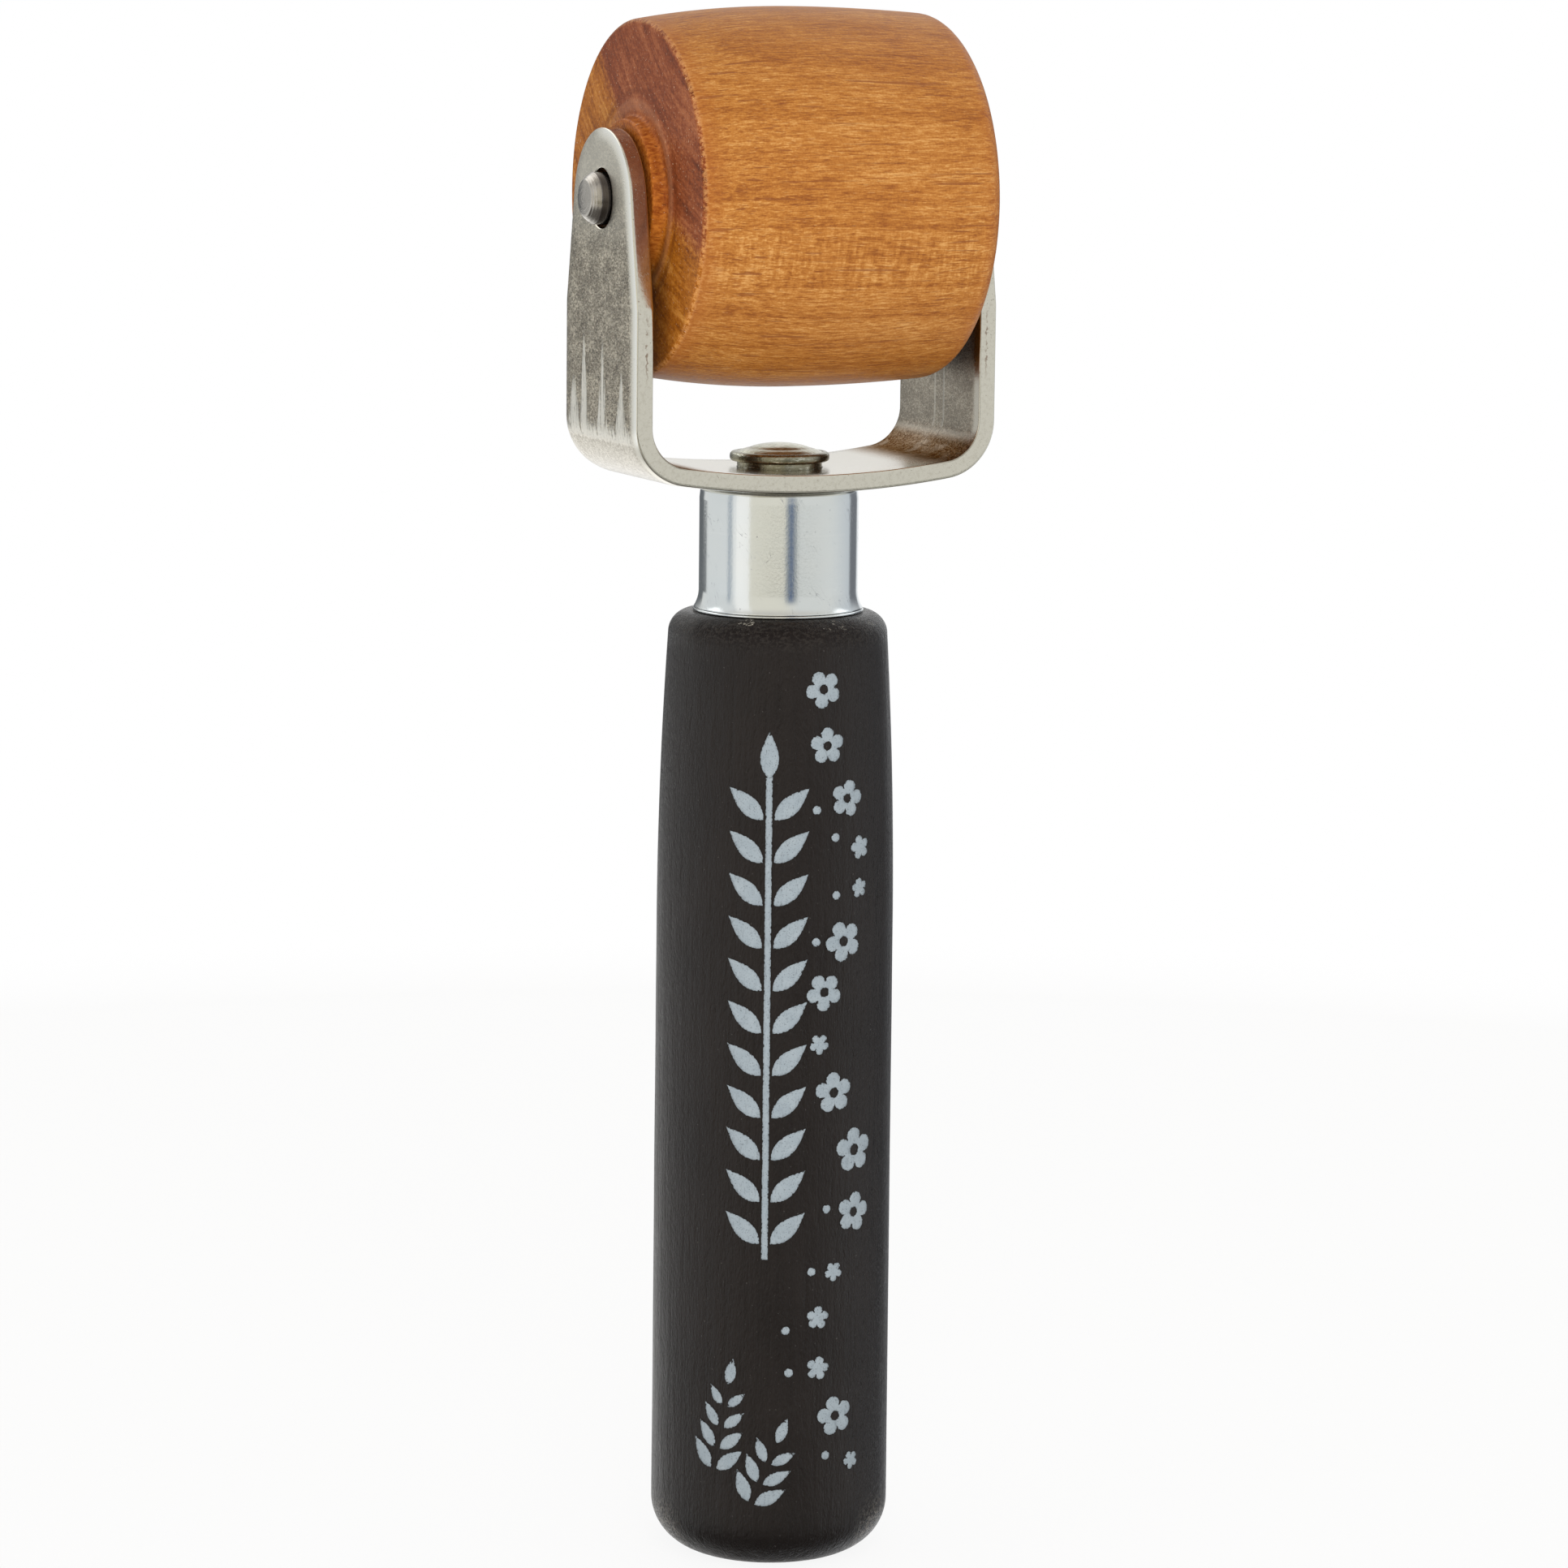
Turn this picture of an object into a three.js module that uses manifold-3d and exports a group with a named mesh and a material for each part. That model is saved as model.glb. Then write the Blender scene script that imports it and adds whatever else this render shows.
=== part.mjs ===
// Hand seam roller: a crowned hardwood barrel on a steel axle, carried in a bent steel yoke that is
// riveted to a drawn steel ferrule on a painted wooden handle.
//
// Millimetres, +Z up. The origin is the centre of the handle's flat butt. The handle's axis is Z and the
// axle runs along X. The barrel and the axle turn together in the two clearance holes of the yoke.

import * as THREE from 'three';
import { mergeVertices } from 'three/addons/utils/BufferGeometryUtils.js';
import Module from 'manifold-3d';

// ---- Driving dimensions ---------------------------------------------------------------------------

const FIT_GAP = 0.02; // radial or axial gap left between pieces that are pressed or clamped together

const handle = {
  length: 90.2, // butt to the shoulder the ferrule stands on
  buttRadius: 11.3,
  waistRadius: 11.18, // where the long straight part ends and the shoulder curve begins
  waistHeight: 60,
  neckRadius: 10.3, // where the shoulder curve meets the rounded top edge
  buttRounding: 4.7,
  topRounding: 2.1,
};

const ferrule = {
  radius: 7.45,
  height: 11.6,
  wall: 0.6,
  flareRadius: 8.0, // outer radius of the flared foot
  flareHeight: 1.95,
  topRounding: 0.6,
};

const yoke = {
  outerWidth: 36.2,
  thickness: 1.75,
  stripWidth: 17.4,
  bendRadius: 5.5, // outside of the bend
  baseCurve: 91, // radius of the shallow bow in the base, centre above it
  tipRadius: 7.0,
  tipDrop: 0.6, // the tip's arc is centred this far below the axle
  taperDrop: 9.7, // the leg reaches its full width this far below the axle
  axleHoleRadius: 2.75,
  seatRadius: 4.05, // shallow round seat pressed into the base under the rivet's neck
  seatDepth: 0.2,
};

const axle = {
  radius: 2.38,
  heightAboveBase: 26.8, // axle centre above the lowest point of the yoke
  standOut: 1.75, // beyond the outer face of each leg
  chamferLength: 0.9,
  endRadius: 1.64,
};

const barrel = {
  length: 31.75, // over the two hubs
  radius: 17.5, // at the middle of the crown
  leftRim: { radius: 16.3, rounding: 0.7 }, // the crown falls away more, and to a crisper edge, on this side
  rightRim: { radius: 17.0, rounding: 1.6 },
  hubRadius: 7.3,
  hubHeight: 1.2,
  hubFillet: 0.5,
};

const rivet = {
  headRadius: 4.65,
  rimThickness: 0.75,
  domeHeight: 0.95,
  neckRadius: 3.97,
  neckHeight: 0.8,
  shankRadius: 2.4,
  holeRadius: 2.5, // in the yoke, the ferrule's top and the washer
  tailRadius: 3.9,
  tailFlatRadius: 3.1,
  tailHeight: 1.5,
};

const washer = { radius: 5.4, thickness: 0.9 };

const tenon = { clearance: 1, chamfer: 0.6 }; // clearance below the rivet's tail

// ---- Heights worked out from the dimensions -------------------------------------------------------

const shoulderZ = handle.length;
const ferruleFootZ = shoulderZ + FIT_GAP;
const ferruleTopZ = ferruleFootZ + ferrule.height;
const yokeBaseZ = ferruleTopZ + FIT_GAP;
const axleZ = yokeBaseZ + axle.heightAboveBase;
const capUnderZ = ferruleTopZ - ferrule.wall;
const washerTopZ = capUnderZ - FIT_GAP;
const tailTopZ = washerTopZ - washer.thickness - FIT_GAP;
const tailBottomZ = tailTopZ - rivet.tailHeight;
const tenonRadius = ferrule.radius - ferrule.wall - FIT_GAP;
const tenonTopZ = tailBottomZ - tenon.clearance;

const seatFloor = yoke.thickness - yoke.seatDepth; // above the lowest point of the yoke
const neckSeatZ = yokeBaseZ + seatFloor + FIT_GAP;

// ---- Materials ------------------------------------------------------------------------------------

const materials = {
  hardwood: new THREE.MeshStandardMaterial({ color: 0xb9742f, roughness: 0.45, metalness: 0 }),
  blackPaint: new THREE.MeshStandardMaterial({ color: 0x232122, roughness: 0.4, metalness: 0 }),
  nickelSteel: new THREE.MeshStandardMaterial({ color: 0xb4ae9f, roughness: 0.38, metalness: 1 }),
  brightZinc: new THREE.MeshStandardMaterial({ color: 0xcfd5da, roughness: 0.15, metalness: 1 }),
  yellowZinc: new THREE.MeshStandardMaterial({ color: 0xa39a7c, roughness: 0.3, metalness: 1 }),
  bareSteel: new THREE.MeshStandardMaterial({ color: 0x9d9892, roughness: 0.3, metalness: 1 }),
};

// ---- Shape helpers --------------------------------------------------------------------------------

const LATHE_SEGMENTS = 48;
const SMALL_LATHE_SEGMENTS = 32;

/** Points along a circular arc, from one angle to another, both in degrees. */
function arcPoints(centreX, centreY, radius, fromDeg, toDeg, steps) {
  return Array.from({ length: steps + 1 }, (_, i) => {
    const angle = THREE.MathUtils.degToRad(fromDeg + ((toDeg - fromDeg) * i) / steps);
    return new THREE.Vector2(centreX + radius * Math.cos(angle), centreY + radius * Math.sin(angle));
  });
}

/** A point of a lathe profile: distance from the axis, then height along it. */
const at = (radius, height) => new THREE.Vector2(radius, height);

/** Revolves a profile about the mesh's own Y axis. */
function latheMesh(name, material, profile, segments = LATHE_SEGMENTS) {
  const mesh = new THREE.Mesh(new THREE.LatheGeometry(profile, segments), material);
  mesh.name = name;
  return mesh;
}

/** Turns a lathed mesh's Y axis to the world's Z axis. */
function standUp(mesh) {
  mesh.rotation.x = Math.PI / 2;
  return mesh;
}

/** Turns a lathed mesh's Y axis to the world's X axis. */
function layAlongX(mesh) {
  mesh.rotation.z = -Math.PI / 2;
  return mesh;
}

/** The mirror image of half a profile about height 0, in reverse order. */
const mirrored = (points) => points.map((p) => at(p.x, -p.y)).reverse();

/** Radius of the circular arc that drops by `drop` over a run of `run` from its crown. */
const arcRadiusFor = (run, drop) => (run * run + drop * drop) / (2 * drop);

/** How far an arc of this radius drops over a run from its crown. */
function arcDrop(radius, run) {
  return radius - Math.sqrt(radius ** 2 - run ** 2);
}

// ---- Boolean helpers ------------------------------------------------------------------------------

const wasm = await Module();
wasm.setup();

const MERGE_TOLERANCE = 1e-4;

/** A closed BufferGeometry as a manifold-3d solid. */
function toSolid(geometry) {
  const bare = geometry.clone();
  bare.deleteAttribute('normal');
  bare.deleteAttribute('uv');
  const merged = mergeVertices(bare, MERGE_TOLERANCE);
  const mesh = new wasm.Mesh({
    numProp: 3,
    vertProperties: new Float32Array(merged.attributes.position.array),
    triVerts: new Uint32Array(merged.index.array),
  });
  return new wasm.Manifold(mesh);
}

/** A manifold-3d solid as a BufferGeometry. */
function toGeometry(solid) {
  const mesh = solid.getMesh();
  const geometry = new THREE.BufferGeometry();
  geometry.setAttribute('position', new THREE.BufferAttribute(new Float32Array(mesh.vertProperties), 3));
  geometry.setIndex(new THREE.BufferAttribute(new Uint32Array(mesh.triVerts), 1));
  geometry.computeVertexNormals();
  return geometry;
}

// ---- Handle and ferrule ---------------------------------------------------------------------------

/** Turned handle: rounded butt, long body, curved shoulder, and a short tenon inside the ferrule. */
function makeHandle() {
  const { buttRadius, buttRounding, waistHeight, waistRadius, neckRadius, topRounding } = handle;
  const curveTop = handle.length - topRounding;
  const curveRun = curveTop - waistHeight;
  const curveRadius = arcRadiusFor(curveRun, waistRadius - neckRadius);
  const shoulderCurve = Array.from({ length: 7 }, (_, i) => {
    const rise = (curveRun * (i + 1)) / 8;
    return at(waistRadius - arcDrop(curveRadius, rise), waistHeight + rise);
  });
  const profile = [
    at(0, 0),
    ...arcPoints(buttRadius - buttRounding, buttRounding, buttRounding, -90, 0, 8),
    at(waistRadius, waistHeight),
    ...shoulderCurve,
    ...arcPoints(neckRadius - topRounding, curveTop, topRounding, 0, 90, 6),
    at(tenonRadius, shoulderZ),
    at(tenonRadius, tenonTopZ - tenon.chamfer),
    at(tenonRadius - tenon.chamfer, tenonTopZ),
    at(0, tenonTopZ),
  ];
  return standUp(latheMesh('handle', materials.blackPaint, profile));
}

/** Drawn cup with a rivet hole in its closed top and a flared foot that bears on the handle. */
function makeFerrule() {
  const { radius, wall, flareRadius, flareHeight, topRounding } = ferrule;
  const flareOut = flareRadius - radius;
  const flareArc = arcRadiusFor(flareHeight, flareOut);
  const sweep = THREE.MathUtils.radToDeg(Math.asin(flareHeight / flareArc));
  const flareZ = ferruleFootZ + flareHeight;
  const outerFoot = arcPoints(radius + flareArc, flareZ, flareArc, 180 + sweep, 180, 5);
  const innerFoot = arcPoints(radius + flareArc, flareZ, flareArc + wall, 180, 180 + sweep, 5);
  const innerFootClear = innerFoot.filter((p) => p.y > ferruleFootZ);
  const profile = [
    ...outerFoot,
    ...arcPoints(radius - topRounding, ferruleTopZ - topRounding, topRounding, 0, 90, 4),
    at(rivet.holeRadius, ferruleTopZ),
    at(rivet.holeRadius, capUnderZ),
    at(radius - wall, capUnderZ),
    ...innerFootClear,
    at(flareRadius - wall, ferruleFootZ),
  ];
  profile.push(profile[0].clone());
  return standUp(latheMesh('ferrule', materials.brightZinc, profile));
}

// ---- Yoke -----------------------------------------------------------------------------------------

/** The strip seen along Y: two upright legs joined by a shallow bowed base, with z 0 at its lowest point. */
function yokeFrontShape(topZ) {
  const half = yoke.outerWidth / 2;
  const bendCentreX = half - yoke.bendRadius;
  const reach = yoke.baseCurve - yoke.bendRadius;
  const bendCentreZ = yoke.baseCurve - Math.sqrt(reach ** 2 - bendCentreX ** 2);
  const tilt = THREE.MathUtils.radToDeg(Math.asin(bendCentreX / reach));
  const innerBend = yoke.bendRadius - yoke.thickness;
  const innerCurve = yoke.baseCurve - yoke.thickness;
  const outer = [
    ...arcPoints(-bendCentreX, bendCentreZ, yoke.bendRadius, 180, 270 - tilt, 9),
    ...arcPoints(0, yoke.baseCurve, yoke.baseCurve, 270 - tilt, 270 + tilt, 12).slice(1, -1),
    ...arcPoints(bendCentreX, bendCentreZ, yoke.bendRadius, 270 + tilt, 360, 9),
  ];
  const inner = [
    ...arcPoints(bendCentreX, bendCentreZ, innerBend, 360, 270 + tilt, 9),
    ...arcPoints(0, yoke.baseCurve, innerCurve, 270 + tilt, 270 - tilt, 12).slice(1, -1),
    ...arcPoints(-bendCentreX, bendCentreZ, innerBend, 270 - tilt, 180, 9),
  ];
  return new THREE.Shape([
    at(-half, topZ),
    ...outer,
    at(half, topZ),
    at(half - yoke.thickness, topZ),
    ...inner,
    at(-half + yoke.thickness, topZ),
  ]);
}

/** The strip seen along X: full width below, tapering to a round tip about the axle. */
function yokeSideShape(axleHeight) {
  const halfWidth = yoke.stripWidth / 2;
  const tipZ = axleHeight - yoke.tipDrop;
  const fullWidthZ = axleHeight - yoke.taperDrop;
  const run = tipZ - fullWidthZ;
  // The taper is tangent to the tip's arc, so its angle follows from the corner it starts at.
  const toCorner = Math.atan2(run, halfWidth);
  const cornerDistance = Math.hypot(run, halfWidth);
  const tangent = THREE.MathUtils.radToDeg(Math.acos(yoke.tipRadius / cornerDistance) - toCorner);
  const below = -2 * yoke.bendRadius;
  return new THREE.Shape([
    at(-halfWidth, below),
    at(halfWidth, below),
    at(halfWidth, fullWidthZ),
    ...arcPoints(0, tipZ, yoke.tipRadius, tangent, 180 - tangent, 20),
    at(-halfWidth, fullWidthZ),
  ]);
}

/** Extrudes a shape and stands it up, centred on the plane it was drawn in. `sideways` draws it in YZ. */
function uprightExtrusion(shape, depth, sideways) {
  const geometry = new THREE.ExtrudeGeometry(shape, { depth, bevelEnabled: false });
  geometry.translate(0, 0, -depth / 2);
  geometry.rotateX(Math.PI / 2);
  return sideways ? geometry.rotateZ(Math.PI / 2) : geometry;
}

/** Bent strip with an axle hole in each leg, and a rivet hole with a shallow seat in its base. */
function makeYoke() {
  const axleHeight = axle.heightAboveBase;
  const aboveTip = axleHeight + 2 * yoke.tipRadius;
  const front = toSolid(uprightExtrusion(yokeFrontShape(aboveTip), 2 * yoke.stripWidth, false));
  const side = toSolid(uprightExtrusion(yokeSideShape(axleHeight), 2 * yoke.outerWidth, true));
  const axleDrill = new THREE.CylinderGeometry(
    yoke.axleHoleRadius, yoke.axleHoleRadius, 2 * yoke.outerWidth, SMALL_LATHE_SEGMENTS);
  axleDrill.rotateZ(Math.PI / 2).translate(0, 0, axleHeight);
  const rivetDrill = new THREE.CylinderGeometry(
    rivet.holeRadius, rivet.holeRadius, 6 * yoke.thickness, SMALL_LATHE_SEGMENTS);
  rivetDrill.rotateX(Math.PI / 2);
  const seat = new THREE.CylinderGeometry(
    yoke.seatRadius, yoke.seatRadius, yoke.thickness, SMALL_LATHE_SEGMENTS);
  seat.rotateX(Math.PI / 2).translate(0, 0, seatFloor + yoke.thickness / 2);
  const cutters = [axleDrill, rivetDrill, seat];
  const solid = cutters.reduce((body, cutter) => body.subtract(toSolid(cutter)), front.intersect(side));
  const mesh = new THREE.Mesh(toGeometry(solid), materials.nickelSteel);
  mesh.name = 'yoke';
  return mesh;
}

// ---- Rivet ----------------------------------------------------------------------------------------

/** Domed head, neck, shank and clinched tail, drawn with z 0 where the neck sits on the yoke's base. */
function makeRivet() {
  const { headRadius, rimThickness, domeHeight, neckRadius, neckHeight } = rivet;
  const rimTop = neckHeight + rimThickness;
  const domeArc = arcRadiusFor(headRadius, domeHeight);
  const domeAngle = THREE.MathUtils.radToDeg(Math.asin(headRadius / domeArc));
  const dome = arcPoints(0, rimTop + domeHeight - domeArc, domeArc, 90 - domeAngle, 90, 6);
  const tailTop = tailTopZ - neckSeatZ;
  const tailBottom = tailBottomZ - neckSeatZ;
  const profile = [
    at(0, tailBottom),
    at(rivet.tailFlatRadius, tailBottom),
    at(rivet.tailRadius, tailBottom + rivet.tailHeight / 2),
    at(rivet.tailRadius, tailTop),
    at(rivet.shankRadius, tailTop),
    at(rivet.shankRadius, 0),
    at(neckRadius, 0),
    at(neckRadius, neckHeight),
    at(headRadius, neckHeight),
    ...dome.slice(0, -1),
    at(0, rimTop + domeHeight),
  ];
  return standUp(latheMesh('rivet', materials.yellowZinc, profile, SMALL_LATHE_SEGMENTS));
}

/** Flat ring between the ferrule's closed top and the rivet's clinched tail. */
function makeRivetWasher() {
  const profile = [
    at(washer.radius, -washer.thickness),
    at(washer.radius, 0),
    at(rivet.holeRadius, 0),
    at(rivet.holeRadius, -washer.thickness),
    at(washer.radius, -washer.thickness),
  ];
  return standUp(latheMesh('rivet_washer', materials.brightZinc, profile, SMALL_LATHE_SEGMENTS));
}

// ---- Barrel and axle ------------------------------------------------------------------------------

/** Half of the barrel's profile, from the middle of the crown over one rim and hub to the bore. */
function barrelHalf(rim) {
  const { radius, hubRadius, hubHeight, hubFillet } = barrel;
  const halfLength = barrel.length / 2;
  const faceX = halfLength - hubHeight;
  const crownEnd = faceX - rim.rounding;
  const crownArc = arcRadiusFor(crownEnd, radius - rim.radius);
  const crownAngle = THREE.MathUtils.radToDeg(Math.asin(crownEnd / crownArc));
  return [
    ...arcPoints(radius - crownArc, 0, crownArc, 0, crownAngle, 7),
    ...arcPoints(rim.radius - rim.rounding, crownEnd, rim.rounding, 0, 90, 4).slice(1),
    ...arcPoints(hubRadius + hubFillet, faceX + hubFillet, hubFillet, 270, 180, 3),
    at(hubRadius, halfLength),
    at(axle.radius + FIT_GAP, halfLength),
  ];
}

/** Crowned hardwood barrel with a raised hub on each end and a bore for the axle. */
function makeRoller() {
  const profile = [...mirrored(barrelHalf(barrel.leftRim)), ...barrelHalf(barrel.rightRim).slice(1)];
  profile.push(profile[0].clone());
  return layAlongX(latheMesh('roller', materials.hardwood, profile));
}

/** Plain steel pin, chamfered at both ends, pressed through the barrel. */
function makeAxle() {
  const halfLength = yoke.outerWidth / 2 + axle.standOut;
  const rightEnd = [
    at(axle.radius, halfLength - axle.chamferLength),
    at(axle.endRadius, halfLength),
    at(0, halfLength),
  ];
  const profile = [...mirrored(rightEnd), ...rightEnd];
  return layAlongX(latheMesh('axle', materials.bareSteel, profile, SMALL_LATHE_SEGMENTS));
}

// ---- Assembly -------------------------------------------------------------------------------------

const seamRoller = new THREE.Group();

const handleGroup = new THREE.Group();
handleGroup.add(makeHandle(), makeFerrule());

const yokeGroup = new THREE.Group();
yokeGroup.position.z = yokeBaseZ;
yokeGroup.add(makeYoke());

const rivetMesh = makeRivet();
rivetMesh.position.z = neckSeatZ;
const washerMesh = makeRivetWasher();
washerMesh.position.z = washerTopZ;

const rollerGroup = new THREE.Group();
rollerGroup.position.z = axleZ;
rollerGroup.add(makeRoller(), makeAxle());

seamRoller.add(handleGroup, yokeGroup, rivetMesh, washerMesh, rollerGroup);

export default seamRoller;
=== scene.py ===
import math
import random

import bpy
import numpy as np
from mathutils import Matrix, Vector, noise
from mathutils.geometry import delaunay_2d_cdt


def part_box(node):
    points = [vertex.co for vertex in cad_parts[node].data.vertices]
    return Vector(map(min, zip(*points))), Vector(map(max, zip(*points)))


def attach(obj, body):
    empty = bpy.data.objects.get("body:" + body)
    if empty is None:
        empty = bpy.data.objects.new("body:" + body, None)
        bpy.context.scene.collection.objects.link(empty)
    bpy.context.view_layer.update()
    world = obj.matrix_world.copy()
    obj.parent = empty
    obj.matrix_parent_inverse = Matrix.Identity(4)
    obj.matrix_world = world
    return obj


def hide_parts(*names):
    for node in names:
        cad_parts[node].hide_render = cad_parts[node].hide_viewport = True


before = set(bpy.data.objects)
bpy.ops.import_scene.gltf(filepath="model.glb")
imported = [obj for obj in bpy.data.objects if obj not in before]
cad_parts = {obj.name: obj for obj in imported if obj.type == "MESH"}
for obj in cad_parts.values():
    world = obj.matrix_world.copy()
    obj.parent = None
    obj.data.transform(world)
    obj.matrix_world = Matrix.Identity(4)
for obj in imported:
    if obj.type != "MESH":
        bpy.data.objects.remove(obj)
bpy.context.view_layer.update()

# A hand seam roller: crowned wooden barrel, steel axle, bent steel yoke, rivet, zinc ferrule and
# painted handle. Lengths in this script are millimetres in the part's frame, and MM takes them to
# metres when a mesh is made. The handle's axis is Z, and the axle runs along X.

MM = 0.001


# ---- Places and sizes taken from the frame

def node_box(node):
    """Lowest and highest corners of a CAD node, in millimetres."""
    low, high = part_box(node)
    return low / MM, high / MM


roller_low, roller_high = node_box("roller")
axle_low, axle_high = node_box("axle")
yoke_low, yoke_high = node_box("yoke")
rivet_low, rivet_high = node_box("rivet")
washer_low, washer_high = node_box("rivet_washer")
ferrule_low, ferrule_high = node_box("ferrule")
_, handle_high = node_box("handle")

AXLE_Z = (axle_low.z + axle_high.z) / 2
AXLE_CENTRE = Vector((0, 0, AXLE_Z))
FOOT_Z = ferrule_low.z  # the ferrule stands on the handle's shoulder here
BASE_Z = yoke_low.z  # lowest point of the yoke

# ---- Dimensions that the boxes do not show

CAMERA_AZIMUTH = -23.86  # degrees; the printed side of the handle faces this way
HUB_HEIGHT = 1.2
HUB_RADIUS = 7.3
HUB_FOOT = 0.75  # how far the hub's fillet spreads over the end face
BEAD = (HUB_RADIUS + 1.35, 0.07, 0.42)  # radius, height and width of the ring turned round the hub
GROOVE = (HUB_RADIUS + 2.45, -0.04, 0.30)  # and of the groove outside it
LEFT_RIM = (16.3, 0.55)  # radius where the crown ends, and the rounding of the edge
RIGHT_RIM = (17.0, 1.6)
STRIP = 1.75  # thickness of the yoke's strip
BEND_RADIUS = 5.5  # outside of the yoke's bends
BASE_CURVE = 91.0  # radius of the shallow bow in the yoke's base
TIP_RADIUS = 7.0  # of the legs' round ends
TIP_DROP = 0.6  # how far the middle of that round lies below the axle
TAPER_DROP = 9.7  # and where the leg starts to narrow
AXLE_HOLE = 2.75
RIVET_HOLE = 2.5
SEAT_RADIUS = 4.05  # shallow seat pressed into the yoke's base under the rivet's neck
SEAT_DEPTH = 0.2
FERRULE_RADIUS = 7.45
FERRULE_WALL = 0.6
FLARE_HEIGHT = 1.95
FLARE_LIP = 0.28
CHAMFER_LENGTH = 0.98  # of the axle's ends
CHAMFER_DEPTH = 0.71
END_DOME = 0.15  # how far the axle's end faces bulge
RIVET_NECK = 3.97  # radius under the head
RIVET_SHANK = 2.4
RIVET_TAIL = 3.9
RIM_THICKNESS = 0.88  # of the rivet's head
RIM_WIDTH = 0.60
DOME_RING = 2.9  # radius of the shallow ring in the rivet's dome
GAP = 0.02  # between faces that touch in the real object


# ---- Outline helpers

def arc(cx, cy, radius, start, end, steps):
    """Points on a circular arc between two angles in degrees."""
    angles = [math.radians(start + (end - start) * i / steps) for i in range(steps + 1)]
    return [(cx + radius * math.cos(a), cy + radius * math.sin(a)) for a in angles]


def circle(cx, cy, radius, steps):
    """A closed loop of points, without a repeat of the first."""
    return arc(cx, cy, radius, 0, 360, steps)[:-1]


def rounded(points, radii, steps):
    """An open path with each inner corner replaced by a fillet of its own radius."""
    path = [points[0]]
    for before, corner, after, radius in zip(points, points[1:], points[2:], radii):
        c = Vector(corner)
        to_before = (Vector(before) - c).normalized()
        to_after = (Vector(after) - c).normalized()
        half = to_before.angle(to_after) / 2
        if radius <= 0 or half > math.radians(89):
            path.append(corner)
            continue
        reach = radius / math.tan(half)
        centre = c + (to_before + to_after).normalized() * (radius / math.sin(half))
        first = (c + to_before * reach) - centre
        last = (c + to_after * reach) - centre
        turn = math.atan2(first.cross(last), first.dot(last))
        for i in range(steps + 1):
            spoke = Matrix.Rotation(turn * i / steps, 2) @ first
            path.append(tuple(centre + spoke))
    path.append(points[-1])
    return path


def densify(path, guard=0.12, step=1.2):
    """Adds points to long straight runs, with one close to each end to hold the smooth shading flat."""
    result = [path[0]]
    for a, b in zip(path, path[1:]):
        length = math.dist(a, b)
        if length > 4 * guard:
            inner = max(1, round((length - 2 * guard) / step))
            stops = [guard + (length - 2 * guard) * i / inner for i in range(inner + 1)]
            result += [tuple(Vector(a).lerp(Vector(b), s / length)) for s in stops]
        result.append(b)
    return result


def sag(radius, run):
    """How far an arc of this radius falls away over a run from its crown."""
    return radius - math.sqrt(radius * radius - run * run)


def radius_for(run, fall):
    """Radius of the arc that falls away by this much over this run."""
    return (run * run + fall * fall) / (2 * fall)


def ridge(r, place, height, width):
    """Height at r of a smooth ridge, or of a groove if height is below 0."""
    return height * math.exp(-((r - place) / width) ** 2)


# ---- Mesh helpers

def make_object(name, points, faces, material):
    """A mesh object in metres."""
    mesh = bpy.data.meshes.new(name)
    mesh.from_pydata([tuple(c * MM for c in p) for p in points], [], faces)
    mesh.materials.append(material)
    made = bpy.data.objects.new(name, mesh)
    bpy.context.scene.collection.objects.link(made)
    return made


def make_piece(name, points, faces, material, body):
    """A smooth-shaded object that rides on a CAD body."""
    piece = make_object(name, points, faces, material)
    piece.data.validate()
    piece.data.shade_smooth()
    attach(piece, body)
    return piece


def lathe(profile, segments, place, closed=False, wobble=0.0):
    """Revolves (radius, height) points. place turns (radius, angle, height) into a point.

    An open profile starts and ends on the axis. wobble lets the surface dip inwards by up to that many
    millimetres in slow waves, so that it is not perfectly true.
    """
    points = []
    rings = []
    for radius, height in profile:
        if radius < 1e-6:
            rings.append([len(points)])
            points.append(place(0.0, 0.0, height))
            continue
        rings.append(list(range(len(points), len(points) + segments)))
        for i in range(segments):
            angle = 2 * math.pi * i / segments
            r = radius
            if wobble:
                spot = Vector((math.cos(angle) * 2, math.sin(angle) * 2, height * 0.09))
                r -= wobble * (0.5 + 0.5 * noise.noise(spot)) * min(1.0, radius / 4)
            points.append(place(r, angle, height))
    faces = []
    pairs = list(zip(rings, rings[1:]))
    if closed:
        pairs.append((rings[-1], rings[0]))
    for lower, upper in pairs:
        for i in range(segments):
            j = (i + 1) % segments
            if len(lower) == 1:
                faces.append((lower[0], upper[j], upper[i]))
            elif len(upper) == 1:
                faces.append((lower[i], lower[j], upper[0]))
            else:
                faces.append((lower[i], lower[j], upper[j], upper[i]))
    return points, faces


def about_z(radius, angle, height):
    return (radius * math.cos(angle), radius * math.sin(angle), height)


def about_axle(radius, angle, height):
    return (height, radius * math.cos(angle), AXLE_Z + radius * math.sin(angle))


def loop_normals(loop):
    """Unit normals that point out of a counter-clockwise loop, lengthened at corners to keep offsets even."""
    p = np.array(loop, float)
    edge = np.roll(p, -1, axis=0) - p
    edge /= np.linalg.norm(edge, axis=1)[:, None]
    out = np.stack([edge[:, 1], -edge[:, 0]], axis=1)
    both = out + np.roll(out, 1, axis=0)
    both /= np.linalg.norm(both, axis=1)[:, None]
    stretch = np.clip((both * out).sum(axis=1), 0.5, 1.0)
    return both / stretch[:, None]


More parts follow.
